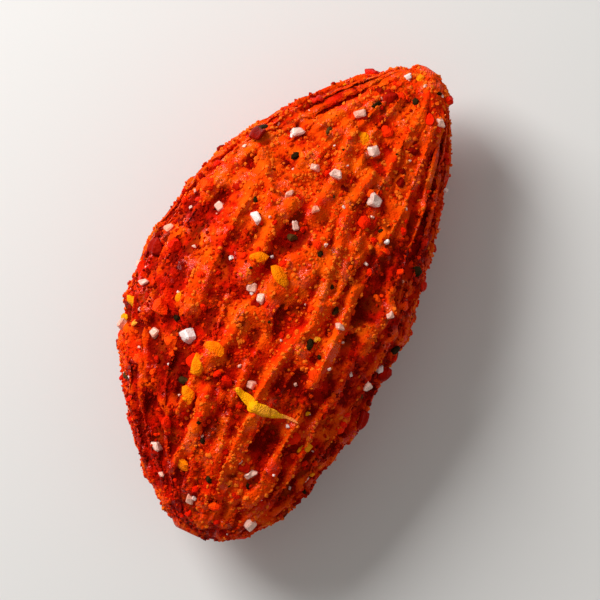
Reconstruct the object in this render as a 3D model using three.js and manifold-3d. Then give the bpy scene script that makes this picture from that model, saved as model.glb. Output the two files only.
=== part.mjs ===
// A roasted almond in a crust of chili, salt and pepper, lying on its broad side.
// Millimetres, +Z up. +X points to the nut's tip. The origin is the middle of the underside, on the
// small flat that the nut rests on. The kernel is a swept skin with furrows that run from the tip to
// the blunt end, and the largest flakes, crumbs, specks and crystals of the coat are fused to it.
import * as THREE from "three";
import { mergeVertices } from "three/addons/utils/BufferGeometryUtils.js";
import Module from "manifold-3d";

const { smoothstep } = THREE.MathUtils;

// ---- Driving dimensions ----------------------------------------------------------------------
const LENGTH = 25.6; // from the tip to the blunt end
const LEFT_BULGE = 8.1; // how far the fuller side, +Y, swings out from the line through both ends
const RIGHT_BULGE = 5.6; // the same for the straighter side
const THICKNESS = 8.5; // through the two broad faces, before the flat is taken off
const FLAT_DEPTH = 0.35; // what the resting flat takes off the underside
const SMOOTH_FOOT = 1.2; // height over which the relief grows from nothing at the flat

// A hump rises as reach^rise from the tip and falls as (1 - s)^fall to the blunt end. The reach is a
// root near the tip, which rounds it, and grows evenly with s further on.
const TIP_BLUNTNESS = 0.08; // share of the length over which the tip is rounded
const LEFT_HUMP = { rise: 1.1, fall: 0.84 };
const RIGHT_HUMP = { rise: 0.68, fall: 0.36 };
const THICKNESS_HUMP = { rise: 0.75, fall: 0.5 };
const SECTION_POWER = 0.9; // below 1 the cross-section is squarer than an ellipse

const FURROWS = 22; // round the girth
const FURROW_DEPTH = 0.6; // of the deepest one
const LEAST_STRENGTH = 0.6; // of the shallowest one, as a share of the deepest
const FLOOR_POWER = 1.7; // above 1 the furrows have round floors and the ridges between them are narrow
const FURROW_SWELLS = { least: 0.9, most: 1.9, share: 0.32 }; // how often and how far a depth comes and goes
const FURROW_FADE = { tip: 0.2, end: 0.13 }; // shares of the length over which the furrows fade out

// Waves over the skin: size times the sine of turns round the girth plus drift along the length. The
// first two sway the furrows sideways, in radians, and the others raise low lumps, in millimetres.
const SWAYS = [
  { size: 0.075, turns: 3, drift: 4.3, phase: 0.6 },
  { size: 0.03, turns: 7, drift: -9.5, phase: 0 },
];
const LUMPS = [
  { size: 0.1, turns: 2, drift: 5.2, phase: 0.4 },
  { size: 0.09, turns: 3, drift: -7.4, phase: 2.1 },
  { size: 0.06, turns: 1, drift: 9, phase: 1.3 },
];

const RINGS = 34; // steps along the nut
const STEPS_PER_FURROW = 4;
const EVEN_SHARE = 0.15; // of the ring spacing; the rest crowds towards both ends

// ---- Seeded draws ----------------------------------------------------------------------------
// One channel for each thing that is drawn. A flake takes one channel for each of its corners.
const CHANNEL = {
  strength: 1, swells: 2, swellPhase: 3, crumbCorner: 4, along: 5, round: 6, size: 7, leanX: 8, leanY: 9,
  spin: 10, keep: 11, flakeAngle: 20, flakeReach: 40,
};

// The same two numbers always give the same value between 0 and 1.
function draw(index, channel) {
  const wave = Math.sin(index * 127.1 + channel * 311.7 + 74.7) * 43758.5453;
  return wave - Math.floor(wave);
}

function between(low, high, share) {
  return low + (high - low) * share;
}

// ---- The kernel's surface --------------------------------------------------------------------
function hump(s, { rise, fall }) {
  const reach = (share) => Math.sqrt(share * (share + 2 * TIP_BLUNTNESS));
  const height = (share) => reach(share) ** rise * (1 - share) ** fall;
  // The height's slope is nothing where a quadratic in s + TIP_BLUNTNESS is, and the hump is 1 there.
  const both = rise + fall;
  const rising = rise * (1 + TIP_BLUNTNESS);
  const root = Math.sqrt(rising ** 2 + 4 * both * fall * TIP_BLUNTNESS ** 2);
  return height(s) / height((rising + root) / (2 * both) - TIP_BLUNTNESS);
}

function signedPower(value, power) {
  return Math.sign(value) * Math.abs(value) ** power;
}

// The outline at s: the middle and half the width, in the frame whose box is centred on Y.
function outline(s) {
  const left = LEFT_BULGE * hump(s, LEFT_HUMP);
  const right = RIGHT_BULGE * hump(s, RIGHT_HUMP);
  const boxMiddle = (LEFT_BULGE - RIGHT_BULGE) / 2;
  return { middle: (left - right) / 2 - boxMiddle, half: (left + right) / 2 };
}

function waves(list, angle, s) {
  const height = ({ size, turns, drift, phase }) => size * Math.sin(turns * angle + drift * s + phase);
  return list.reduce((sum, wave) => sum + height(wave), 0);
}

// The angle round the girth of furrow coordinate u: evenly spaced lines that sway along the nut.
function girthAngle(u, s) {
  const even = (2 * Math.PI * u) / FURROWS;
  return even + waves(SWAYS, even, s);
}

// How deep the skin lies below its ridges at (u, s). Each furrow has its own depth, which comes and
// goes along the nut and fades out at both ends.
function furrow(u, s) {
  const nearest = Math.round(u);
  const own = ((nearest % FURROWS) + FURROWS) % FURROWS;
  const strength = between(LEAST_STRENGTH, 1, draw(own, CHANNEL.strength));
  const swells = between(FURROW_SWELLS.least, FURROW_SWELLS.most, draw(own, CHANNEL.swells));
  const swell = Math.sin(2 * Math.PI * (swells * s + draw(own, CHANNEL.swellPhase)));
  const comeAndGo = 1 - FURROW_SWELLS.share * (1 - swell);
  const ends = smoothstep(s, 0, FURROW_FADE.tip) * smoothstep(1 - s, 0, FURROW_FADE.end);
  const valley = 1 - (2 * Math.abs(u - nearest)) ** FLOOR_POWER;
  return FURROW_DEPTH * strength * comeAndGo * ends * valley;
}

// Low swells that die out at both ends, so that no two sides of the nut are alike.
function lump(angle, s) {
  return waves(LUMPS, angle, s) * 4 * s * (1 - s);
}

function skinPoint(u, s) {
  const { middle, half } = outline(s);
  const angle = girthAngle(u, s);
  const halfThickness = (THICKNESS / 2) * hump(s, THICKNESS_HUMP);
  const side = signedPower(Math.cos(angle), SECTION_POWER);
  const up = signedPower(Math.sin(angle), SECTION_POWER);
  const outward = new THREE.Vector2(Math.cos(angle) * halfThickness, Math.sin(angle) * half).normalize();
  const height = THICKNESS / 2 - FLAT_DEPTH + halfThickness * up;
  const relief = (lump(angle, s) - furrow(u, s)) * smoothstep(height, 0, SMOOTH_FOOT);
  return new THREE.Vector3(
    LENGTH * (0.5 - s),
    middle + half * side + relief * outward.x,
    height + relief * outward.y,
  );
}

// Place and outward normal on the skin, and the area that one unit of u by one of s covers there.
function skinFrame(u, s) {
  const [stepU, stepS] = [0.02, 0.002];
  const round = skinPoint(u + stepU, s).sub(skinPoint(u - stepU, s));
  const along = skinPoint(u, s + stepS).sub(skinPoint(u, s - stepS));
  const normal = along.cross(round);
  const area = normal.length() / (4 * stepU * stepS);
  return { point: skinPoint(u, s), normal: normal.normalize(), area };
}

// ---- The kernel's mesh -----------------------------------------------------------------------
function ringShare(ring) {
  const even = ring / RINGS;
  const crowded = (1 - Math.cos(Math.PI * even)) / 2;
  return EVEN_SHARE * even + (1 - EVEN_SHARE) * crowded;
}

// Columns halve twice towards each end, where the girth runs out, and end in a single point.
function columnsOf(ring) {
  const full = STEPS_PER_FURROW * FURROWS;
  const fromEnd = Math.min(ring, RINGS - ring);
  return [1, full / 4, full / 2][fromEnd] ?? full;
}

// Triangles between two rings of equal count, or of counts where one is twice the other, or a pole.
function bandFaces(first, second, faces) {
  const steps = Math.max(first.count, second.count);
  const at = (ring, step) => ring.start + (Math.floor((step * ring.count) / steps) % ring.count);
  for (let step = 0; step < steps; step += 1) {
    const [a, b] = [at(first, step), at(first, step + 1)];
    const [c, d] = [at(second, step), at(second, step + 1)];
    if (a !== b) faces.push(a, c, b);
    if (c !== d) faces.push(b, c, d);
  }
}

function kernelGeometry() {
  const positions = [];
  const rings = [];
  for (let ring = 0; ring <= RINGS; ring += 1) {
    const count = columnsOf(ring);
    rings.push({ start: positions.length / 3, count });
    for (let column = 0; column < count; column += 1) {
      positions.push(...skinPoint((column * FURROWS) / count, ringShare(ring)).toArray());
    }
  }
  const faces = [];
  for (let ring = 0; ring < RINGS; ring += 1) bandFaces(rings[ring], rings[ring + 1], faces);
  const geometry = new THREE.BufferGeometry();
  geometry.setAttribute("position", new THREE.Float32BufferAttribute(positions, 3));
  geometry.setIndex(faces);
  return geometry;
}

// ---- The coat's large bits -------------------------------------------------------------------
const CRUMB_REACH = [0.39, 0.56]; // least and most distance of a crumb's corners from its middle
const FLAKE_REACH = [0.38, 0.54]; // the same for a flake's outline
const FLAKE_CORNERS = 7;
const CRYSTAL_SIDES = [0.9, 0.8, 0.85];

// The kinds of bit. shape gives a closed body about 1 mm across. Its length is then drawn from
// shortest to longest, wide and high are shares of that, and tilt is how far it may lean, in
// radians. sunk is the share of its height that lies below the skin. first numbers the kind's own
// draws, and tries says how many places are tried for it.
const COAT = [
  {
    shape: flakeShape, first: 0, tries: 34, shortest: 0.9, longest: 1.5,
    wide: 0.72, high: 0.24, tilt: 0.2, sunk: 0.35,
  },
  {
    shape: crumbShape, first: 100, tries: 76, shortest: 0.5, longest: 1.0,
    wide: 0.85, high: 0.75, tilt: 1.2, sunk: 0.42,
  },
  {
    shape: crumbShape, first: 200, tries: 30, shortest: 0.45, longest: 0.8,
    wide: 0.7, high: 0.6, tilt: 0.9, sunk: 0.4,
  },
  {
    shape: crystalShape, first: 300, tries: 62, shortest: 0.4, longest: 0.62,
    wide: 0.95, high: 0.95, tilt: 0.9, sunk: 0.36,
  },
];
const LOWEST_BIT = 0.75; // bits stay above this height, clear of what the nut lies on
const END_MARGIN = 0.03; // of the length, kept free of bits at the tip and the blunt end
const LARGEST_AREA = 60; // that one unit of u by one of s covers, at the middle of the broad faces
const PLACE_JITTER = 0.03;
const GOLDEN_STEPS = [0.7548776662466927, 0.5698402909980532]; // spread points evenly over a square

// The fibre that lies across the furrows of the upper face, at this share of the length.
const FIBRE = { s: 0.712, firstAngle: 1.57, lastAngle: 2.17, radius: 0.17, lift: 0.1, steps: 8, sides: 5 };

function crumbShape(index) {
  const shape = new THREE.IcosahedronGeometry(1, 0);
  const corner = shape.getAttribute("position");
  for (let i = 0; i < corner.count; i += 1) {
    const point = new THREE.Vector3().fromBufferAttribute(corner, i);
    const key = Math.round(point.x * 14 + point.y * 26 + point.z * 58); // its own for each of the twelve
    point.multiplyScalar(between(...CRUMB_REACH, draw(index * 31 + key, CHANNEL.crumbCorner)));
    corner.setXYZ(i, point.x, point.y, point.z);
  }
  return shape;
}

function flakeShape(index) {
  const edge = Array.from({ length: FLAKE_CORNERS }, (_, corner) => {
    const shift = 0.5 * draw(index, CHANNEL.flakeAngle + corner);
    const angle = (2 * Math.PI * (corner + shift)) / FLAKE_CORNERS;
    const reach = between(...FLAKE_REACH, draw(index, CHANNEL.flakeReach + corner));
    return new THREE.Vector2(Math.cos(angle) * reach, Math.sin(angle) * reach);
  });
  const shape = new THREE.ExtrudeGeometry(new THREE.Shape(edge), { depth: 1, bevelEnabled: false });
  return shape.translate(0, 0, -0.5);
}

function crystalShape() {
  return new THREE.BoxGeometry(...CRYSTAL_SIDES);
}

// Where on the skin a try falls, and whether it is kept. Tries are spread evenly over u and s, and
// fewer are kept where the skin is narrow, so bits lie evenly over its area.
function placeOf(index) {
  const shareOf = (golden, channel) => (0.5 + index * golden + PLACE_JITTER * draw(index, channel)) % 1;
  const u = FURROWS * shareOf(GOLDEN_STEPS[1], CHANNEL.round);
  const s = between(END_MARGIN, 1 - END_MARGIN, shareOf(GOLDEN_STEPS[0], CHANNEL.along));
  const { point, normal, area } = skinFrame(u, s);
  const kept = area / LARGEST_AREA > draw(index, CHANNEL.keep) && point.z > LOWEST_BIT;
  return { point, normal, kept };
}

// Turns a bit by spin about the skin's normal, leans it, and lifts its middle off the skin.
function layOnSkin(geometry, { point, normal }, { leanX, leanY, spin, lift }) {
  const lean = new THREE.Quaternion().setFromEuler(new THREE.Euler(leanX, leanY, spin, "ZYX"));
  const upright = new THREE.Quaternion().setFromUnitVectors(new THREE.Vector3(0, 0, 1), normal);
  const place = point.clone().addScaledVector(normal, lift);
  return geometry.applyMatrix4(
    new THREE.Matrix4().compose(place, upright.multiply(lean), new THREE.Vector3(1, 1, 1)),
  );
}

function coatBits() {
  const bits = [];
  for (const { shape, first, tries, shortest, longest, wide, high, tilt, sunk } of COAT) {
    for (let index = first; index < first + tries; index += 1) {
      const place = placeOf(index);
      if (!place.kept) continue;
      const size = between(shortest, longest, draw(index, CHANNEL.size));
      const pose = {
        leanX: tilt * (draw(index, CHANNEL.leanX) - 0.5),
        leanY: tilt * (draw(index, CHANNEL.leanY) - 0.5),
        spin: 2 * Math.PI * draw(index, CHANNEL.spin),
        lift: size * high * (0.5 - sunk),
      };
      bits.push(layOnSkin(shape(index).scale(size, size * wide, size * high), place, pose));
    }
  }
  return bits;
}

function fibreBit() {
  const { s, firstAngle, lastAngle, radius, lift, steps, sides } = FIBRE;
  const spine = Array.from({ length: steps + 1 }, (_, step) => {
    const angle = between(firstAngle, lastAngle, step / steps);
    const { point, normal } = skinFrame((angle * FURROWS) / (2 * Math.PI), s);
    return point.addScaledVector(normal, lift);
  });
  const round = new THREE.EllipseCurve(0, 0, radius, radius).getPoints(sides);
  const section = new THREE.Shape(round.slice(0, sides));
  const extrudePath = new THREE.CatmullRomCurve3(spine);
  return new THREE.ExtrudeGeometry(section, { extrudePath, steps, bevelEnabled: false });
}

// ---- Joining ---------------------------------------------------------------------------------
const wasm = await Module();
wasm.setup();

function toSolid(geometry) {
  const bare = geometry.clone();
  bare.deleteAttribute("normal");
  bare.deleteAttribute("uv");
  const merged = mergeVertices(bare, 1e-4);
  const vertProperties = merged.getAttribute("position").array;
  const triVerts = new Uint32Array(merged.index.array);
  return new wasm.Manifold(new wasm.Mesh({ numProp: 3, vertProperties, triVerts }));
}

function toGeometry(solid) {
  const mesh = solid.getMesh();
  const geometry = new THREE.BufferGeometry();
  geometry.setAttribute("position", new THREE.BufferAttribute(mesh.vertProperties, 3));
  geometry.setIndex(new THREE.BufferAttribute(mesh.triVerts, 1));
  return geometry;
}

// The slab below the resting flat.
function belowFlat() {
  const reach = 2 * LENGTH;
  return toSolid(new THREE.BoxGeometry(reach, reach, THICKNESS).translate(0, 0, -THICKNESS / 2));
}

function almondGeometry() {
  let solid = toSolid(kernelGeometry());
  for (const bit of [...coatBits(), fibreBit()]) solid = solid.add(toSolid(bit));
  return toGeometry(solid.subtract(belowFlat()));
}

// ---- The part --------------------------------------------------------------------------------
const chiliSkin = new THREE.MeshStandardMaterial({ color: 0xc4400a, roughness: 0.6, metalness: 0 });
const almond = new THREE.Mesh(almondGeometry(), chiliSkin);
almond.name = "almond";

const part = new THREE.Group();
part.add(almond);
export default part;
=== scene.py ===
"""A roasted almond in a crust of chili, salt and pepper, on a pale floor.

Every length in the classes is in millimetres, and each mesh is written in metres. The nut's skin is one
function of u, the furrow that a point is in, and s, its share of the way from the tip to the blunt end.
"""

import sys
import logging
import math
from collections.abc import Callable
from dataclasses import dataclass, field
from enum import Enum, IntEnum
from itertools import combinations, product

import bpy
import numpy as np
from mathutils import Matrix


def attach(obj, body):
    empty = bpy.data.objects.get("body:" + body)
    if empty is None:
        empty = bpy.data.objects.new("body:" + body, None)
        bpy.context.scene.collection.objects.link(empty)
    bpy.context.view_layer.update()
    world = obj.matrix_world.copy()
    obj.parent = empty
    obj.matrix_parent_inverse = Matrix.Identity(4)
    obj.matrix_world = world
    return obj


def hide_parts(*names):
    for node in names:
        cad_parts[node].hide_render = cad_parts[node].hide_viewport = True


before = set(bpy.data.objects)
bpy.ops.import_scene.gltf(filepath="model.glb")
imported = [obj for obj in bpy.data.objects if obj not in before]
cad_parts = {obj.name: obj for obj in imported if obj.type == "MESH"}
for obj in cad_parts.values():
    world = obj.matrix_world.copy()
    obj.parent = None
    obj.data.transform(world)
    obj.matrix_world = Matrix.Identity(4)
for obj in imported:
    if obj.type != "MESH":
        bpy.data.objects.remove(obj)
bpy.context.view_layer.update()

NODE = "almond"
BODY = "root"
MM = 0.001
TURN = 2 * math.pi
TINY = 1e-12
LOG = logging.getLogger("chili_almond")

Array = np.ndarray
Surface = Callable[[Array, Array], Array]
Pair = tuple[float, float]
Triple = tuple[float, float, float]
Colour = Triple
Stops = tuple[tuple[float, Colour], ...]
Marks = tuple[tuple[float, float, float, float], ...]
Object = bpy.types.Object
Material = bpy.types.Material
Tree = bpy.types.NodeTree
Node = bpy.types.Node
Socket = bpy.types.NodeSocket
Value = float | Triple | Socket
Values = dict[str | int, Value]


# ---- Seeded draws and noise ----


class Channel(IntEnum):
    """What a seeded draw is for. A flake takes one channel for each of its corners.

    CORNER moves a bit's corners in and out, and UNEVEN makes its edges, curl or sides its own.
    """

    STRENGTH = 1
    SWELLS = 2
    SWELL_PHASE = 3
    CORNER = 4
    ALONG = 5
    ROUND = 6
    SIZE = 7
    LEAN_X = 8
    LEAN_Y = 9
    SPIN = 10
    KEEP = 11
    TONE = 12
    UNEVEN = 13
    FLAKE_ANGLE = 20
    FLAKE_REACH = 40


class Slot(Enum):
    """The record's material slots."""

    CRUST = "chili_crust"
    POWDER = "chili_powder"
    FLAKE = "chili_flake"
    PEPPER = "pepper"
    SALT = "salt"
    SEED = "chili_seed"


def draw(index: Array, channel: Array | int) -> Array:
    """Seeded share from 0 to 1: the fraction left of a large number times a sine of both arguments.

    Args:
        index: Whole numbers, one for each draw.
        channel: What the draw is for, so that one index gives many shares.

    Returns:
        One share for each index.
    """
    per_index, per_channel, start, large = 127.1, 311.7, 74.7, 43758.5453
    wave = np.sin(index * per_index + channel * per_channel + start) * large
    return wave - np.floor(wave)


def between(low: float, high: float, share: Array) -> Array:
    """The value that lies the given share of the way from low to high."""
    return low + (high - low) * share


def smoothstep(low: float, high: float, value: Array) -> Array:
    """Rises from 0 at low to 1 at high as 3 t squared minus 2 t cubed."""
    t = np.clip((value - low) / (high - low), 0.0, 1.0)
    return t * t * (3 - 2 * t)


def fade_ends(s: Array, tip: float, end: float) -> Array:
    """1 along the nut, and down to 0 by smoothstep over the given shares of it at the tip and the end."""
    return smoothstep(0.0, tip, s) * smoothstep(0.0, end, 1 - s)


def signed_power(value: Array, power: float) -> Array:
    """The size of value to a power, with value's own sign."""
    return np.sign(value) * np.abs(value) ** power


def unit(vectors: Array) -> Array:
    """Each vector divided by its own length."""
    return vectors / np.maximum(np.linalg.norm(vectors, axis=-1, keepdims=True), TINY)


def cell_share(cells: Array, seed: int) -> Array:
    """Seeded share from 0 to 1 for each cell of a cubic lattice.

    The cell's three numbers are multiplied by large odd ones and added, and the sum's bits are
    shuffled three times.

    Args:
        cells: Whole-number cells, shaped (..., 3).
        seed: Picks one of many lattices.

    Returns:
        Shares shaped (...).
    """
    factors, per_seed, start, low_bits = (374761393, 668265263, 2246822519), 3266489, 17, 0xFFFFFF
    cell = cells.astype(np.int64).astype(np.uint32)
    x, y, z = (cell[..., axis] * np.uint32(factor) for axis, factor in enumerate(factors))
    n = x + y + z + np.uint32((seed * per_seed + start) % 2**32)
    for shift, factor in ((13, 1274126177), (15, 2654435761), (16, 1)):
        n = (n ^ (n >> np.uint32(shift))) * np.uint32(factor)
    return (n & np.uint32(low_bits)).astype(float) / low_bits


def value_noise(points: Array, size: float, seed: int) -> Array:
    """Smooth noise from -1 to 1: the shares at a lattice cell's eight corners, blended by smoothstep.

    Args:
        points: Places, shaped (..., 3).
        size: The lattice's step, about the size of one bump.
        seed: Picks one of many lattices.

    Returns:
        Noise shaped (...).
    """
    scaled = points / size
    cell = np.floor(scaled)
    t = smoothstep(0.0, 1.0, scaled - cell)
    total = np.zeros(points.shape[:-1])
    for corner in product((0, 1), repeat=3):
        weight = np.prod(np.where(np.array(corner), t, 1 - t), axis=-1)
        total += weight * cell_share(cell + corner, seed)
    return 2 * total - 1


def fractal(points: Array, size: float, octaves: int, seed: int) -> Array:
    """Noise from about -1 to 1: octaves of value noise, each half the size and height of the last."""
    layers = [value_noise(points, size / 2**k, seed + k) / 2**k for k in range(octaves)]
    return sum(layers) / sum(1 / 2**k for k in range(octaves))


def pebbles(points: Array, size: float, seed: int, reach: Pair = (0.35, 0.8)) -> Array:
    """Rounded bumps from 0 to 1 about scattered middles, one in each lattice cell.

    A bump's height is its own share times 1 minus its squared distance over its squared reach, and
    the highest bump at a place wins.

    Args:
        points: Places, shaped (..., 3).
        size: The lattice's step, about the distance between bumps.
        seed: Picks one of many lattices.
        reach: Reaches of the lowest and the highest bump, in steps of the lattice.

    Returns:
        Heights shaped (...).
    """
    scaled = points / size
    cell = np.floor(scaled)
    highest = np.zeros(points.shape[:-1])
    for step in product((-1, 0, 1), repeat=3):
        near = cell + step
        middle = near + np.stack([cell_share(near, seed + k) for k in range(3)], axis=-1)
        share = cell_share(near, seed + 3)
        apart = np.linalg.norm(scaled - middle, axis=-1) / between(*reach, share)
        highest = np.maximum(highest, share * np.clip(1 - apart**2, 0.0, 1.0))
    return highest


def blurred(grid: Array, reach: int) -> Array:
    """A grid smoothed by a bell, e to the minus squared step over squared reach, along both its ways.

    Args:
        grid: Values shaped (rows, columns). The columns run round the nut, and so they wrap.
        reach: The bell's width in rows and in columns.

    Returns:
        The smoothed values.
    """
    steps = np.arange(-2 * reach, 2 * reach + 1)
    bell = np.exp(-((steps / reach) ** 2))
    bell /= bell.sum()
    wrapped = sum(weight * np.roll(grid, step, axis=1) for step, weight in zip(steps, bell))
    rows = np.clip(np.arange(len(grid))[:, None] + steps, 0, len(grid) - 1)
    return np.einsum("rkc,k->rc", wrapped[rows], bell)


# ---- The kernel ----


@dataclass(frozen=True)
class Wave:
    """A wave over the skin: size times the sine of turns round the girth plus drift along the nut."""

    size: float
    turns: float
    drift: float
    phase: float

    def at(self, angle: Array, s: Array) -> Array:
        """The wave's height at an angle round the girth and a share of the length."""
        return self.size * np.sin(self.turns * angle + self.drift * s + self.phase)


@dataclass(frozen=True)
class Hump:
    """Rises as reach^rise from the tip and falls as (1 - s)^fall to the blunt end, and peaks at 1.

    The reach is the root of s times the sum of s and twice the bluntness: a root near the tip, which
    rounds it, and even further on.
    """

    rise: float
    fall: float
    bluntness: float = 0.08

    def height(self, s: Array | float) -> Array | float:
        """The hump before its peak is brought to 1."""
        return (s * (s + 2 * self.bluntness)) ** (self.rise / 2) * (1 - s) ** self.fall

    def peak(self) -> float:
        """Where the slope is nothing, which is the root of a quadratic in s plus the bluntness."""
        both = self.rise + self.fall
        rising = self.rise * (1 + self.bluntness)
        root = math.sqrt(rising**2 + 4 * both * self.fall * self.bluntness**2)
        return (rising + root) / (2 * both) - self.bluntness

    def at(self, s: Array) -> Array:
        """The hump's height at a share of the length."""
        return self.height(np.clip(s, 0.0, 1.0)) / self.height(self.peak())


@dataclass(frozen=True)
class SkinFrames:
    """Places on a skin, the outward normals there, and the area that one u by one s covers."""

    points: Array
    normals: Array
    areas: Array


def skin_frames(
    surface: Surface, u: Array, s: Array, step_u: float = 0.02, step_s: float = 0.002
) -> SkinFrames:
    """Places, normals and areas of a skin, from a short step each way along u and s.

    Args:
        surface: Gives the skin's points for arrays of u and s.
        u: Furrow coordinates.
        s: Shares of the length.
        step_u: The step along u.
        step_s: The step along s.

    Returns:
        The frames, one for each pair of u and s.
    """
    along_nut = surface(u, s + step_s) - surface(u, s - step_s)
    round_nut = surface(u + step_u, s) - surface(u - step_u, s)
    normals = np.cross(along_nut, round_nut)
    areas = np.linalg.norm(normals, axis=-1) / (4 * step_u * step_s)
    return SkinFrames(surface(u, s), unit(normals), areas)


@dataclass(frozen=True)
class Kernel:
    """The nut under its coat, with the furrows and low lumps of its skin."""

    length: float = 25.6
    left_bulge: float = 8.1
    right_bulge: float = 5.6
    thickness: float = 8.5
    flat_depth: float = 0.35
    smooth_foot: float = 1.2
    left: Hump = Hump(rise=1.1, fall=0.84)
    right: Hump = Hump(rise=0.68, fall=0.36)
    upright: Hump = Hump(rise=0.75, fall=0.5)
    section_power: float = 0.9
    furrows: int = 22
    furrow_depth: float = 0.6
    least_strength: float = 0.6
    floor_power: float = 1.7
    swell_range: Pair = (0.9, 1.9)
    swell_share: float = 0.32
    tip_fade: float = 0.2
    end_fade: float = 0.13
    sways: tuple[Wave, ...] = (Wave(0.075, 3, 4.3, 0.6), Wave(0.03, 7, -9.5, 0))
    lumps: tuple[Wave, ...] = (Wave(0.1, 2, 5.2, 0.4), Wave(0.09, 3, -7.4, 2.1), Wave(0.06, 1, 9, 1.3))
    grain_radius: float = 5.2
    grain_length_share: float = 0.4

    def outline(self, s: Array) -> tuple[Array, Array]:
        """Middle and half width of the outline, seen from above, from the bulges of its two sides."""
        left = self.left_bulge * self.left.at(s)
        right = self.right_bulge * self.right.at(s)
        return (left - right - self.left_bulge + self.right_bulge) / 2, (left + right) / 2

    def girth_angle(self, u: Array, s: Array) -> Array:
        """Angle round the girth of furrow coordinate u: evenly spaced lines that sway along the nut."""
        even = TURN * u / self.furrows
        return even + sum(wave.at(even, s) for wave in self.sways)

    def furrow(self, u: Array, s: Array) -> Array:
        """Depth below the ridges: each furrow's own strength, swelling along it, times its valley.

        The valley is 1 less a power of twice the distance to the furrow's middle, which leaves round
        floors and narrow ridges. It fades out at both ends of the nut.

        Args:
            u: Furrow coordinates.
            s: Shares of the length.

        Returns:
            Depths in millimetres.
        """
        nearest = np.rint(u)
        own = np.mod(nearest, self.furrows)
        strength = between(self.least_strength, 1.0, draw(own, Channel.STRENGTH))
        swells = between(*self.swell_range, draw(own, Channel.SWELLS))
        swell = np.sin(TURN * (swells * s + draw(own, Channel.SWELL_PHASE)))
        come_and_go = 1 - self.swell_share * (1 - swell)
        ends = fade_ends(s, self.tip_fade, self.end_fade)
        valley = 1 - np.clip(2 * np.abs(u - nearest), 0.0, 1.0) ** self.floor_power
        return self.furrow_depth * strength * come_and_go * ends * valley

    def skin(self, u: Array, s: Array) -> Array:
        """Points of the bare skin: a squarish ellipse for each s, moved in and out by its relief.

        The relief grows by smoothstep from nothing at the flat underneath.

        Args:
            u: Furrow coordinates.
            s: Shares of the length.

        Returns:
            Points shaped (..., 3).
        """
        middle, half = self.outline(s)
        half_thickness = self.thickness / 2 * self.upright.at(s)
        angle = self.girth_angle(u, s)
        cos, sin = np.cos(angle), np.sin(angle)
        out_y, out_z = cos * half_thickness, sin * half
        out = np.maximum(np.hypot(out_y, out_z), TINY)
        lump = sum(wave.at(angle, s) for wave in self.lumps) * 4 * s * (1 - s)
        height = half_thickness * signed_power(sin, self.section_power) + self.thickness / 2 - self.flat_depth
        relief = (lump - self.furrow(u, s)) * smoothstep(0.0, self.smooth_foot, height)
        x = self.length * (0.5 - s) + 0 * angle
        y = middle + half * signed_power(cos, self.section_power) + relief * out_y / out
        return np.stack([x, y, height + relief * out_z / out], axis=-1)

    def place(self, x: Array, y: Array, edge: float = 0.005, rounds: int = 6) -> tuple[Array, Array]:
        """Finds u and s of places on the upper face that are known from above.

        s follows from X. The angle is the one whose cosine gives Y's share of the half width, and the
        sway is taken off it a few times over, since it depends on the answer.

        Args:
            x: Distances along the nut from the origin, in millimetres.
            y: Distances to its fuller side, in millimetres.
            edge: The share of the length and of the half width that places keep from the outline.
            rounds: How often the sway is taken off.

        Returns:
            Furrow coordinates and shares of the length.
        """
        s = np.clip(0.5 - x / self.length, edge, 1 - edge)
        middle, half = self.outline(s)
        side = np.clip((y - middle) / half, edge - 1, 1 - edge)
        angle = np.arccos(signed_power(side, 1 / self.section_power))
        even = angle
        for _ in range(rounds):
            even = angle - sum(wave.at(even, s) for wave in self.sways)
        return even * self.furrows / TURN, s

    def grain(self, u: Array, s: Array) -> Array:
        """Coordinates in which the skin's grain is even: a round rod, drawn in along its length.

        Args:
            u: Furrow coordinates.
            s: Shares of the length.

        Returns:
            Points shaped (..., 3), in millimetres round the girth and less than that along the nut.
        """
        angle = self.girth_angle(u, s)
        along = self.length * s * self.grain_length_share + 0 * angle
        y, z = self.grain_radius * np.cos(angle), self.grain_radius * np.sin(angle)
        return np.stack([along, y, z], axis=-1)


# ---- Meshes ----


def linked(name: str, data: bpy.types.ID) -> Object:
    """A new object in the scene that holds the data."""
    made = bpy.data.objects.new(name, data)
    bpy.context.scene.collection.objects.link(made)
    return made


@dataclass
class Shape:
    """Points in millimetres, triangles, and a value at each point for each named attribute."""

    points: Array
    triangles: Array
    values: dict[str, Array] = field(default_factory=dict)

    def piece(self, name: str, slot: Slot, material: Material, smooth: bool) -> Object:
        """Writes the shape as one mesh object at the origin that stands for the nut's solid.

        Args:
            name: The piece's name.
            slot: The record's material slot. Not used.
            material: What the piece is dressed in.
            smooth: Whether light runs smoothly over its edges.

        Returns:
            The finished piece.
        """
        mesh = bpy.data.meshes.new(name)
        mesh.vertices.add(len(self.points))
        mesh.vertices.foreach_set("co", (self.points * MM).astype(np.float32).ravel())
        mesh.loops.add(self.triangles.size)
        mesh.loops.foreach_set("vertex_index", self.triangles.astype(np.int32).ravel())
        mesh.polygons.add(len(self.triangles))
        mesh.polygons.foreach_set("loop_start", np.arange(0, self.triangles.size, 3, dtype=np.int32))
        mesh.polygons.foreach_set("use_smooth", np.full(len(self.triangles), smooth))
        for key, value in self.values.items():
            attribute = mesh.attributes.new(key, "FLOAT", "POINT")
            attribute.data.foreach_set("value", value.astype(np.float32).ravel())
        mesh.update(calc_edges=True)
        mesh.materials.append(material)
        made = linked(name, mesh)
        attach(made, BODY)
        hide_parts(NODE)
        LOG.info("%s: %d triangles", name, len(self.triangles))
        return made


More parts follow.
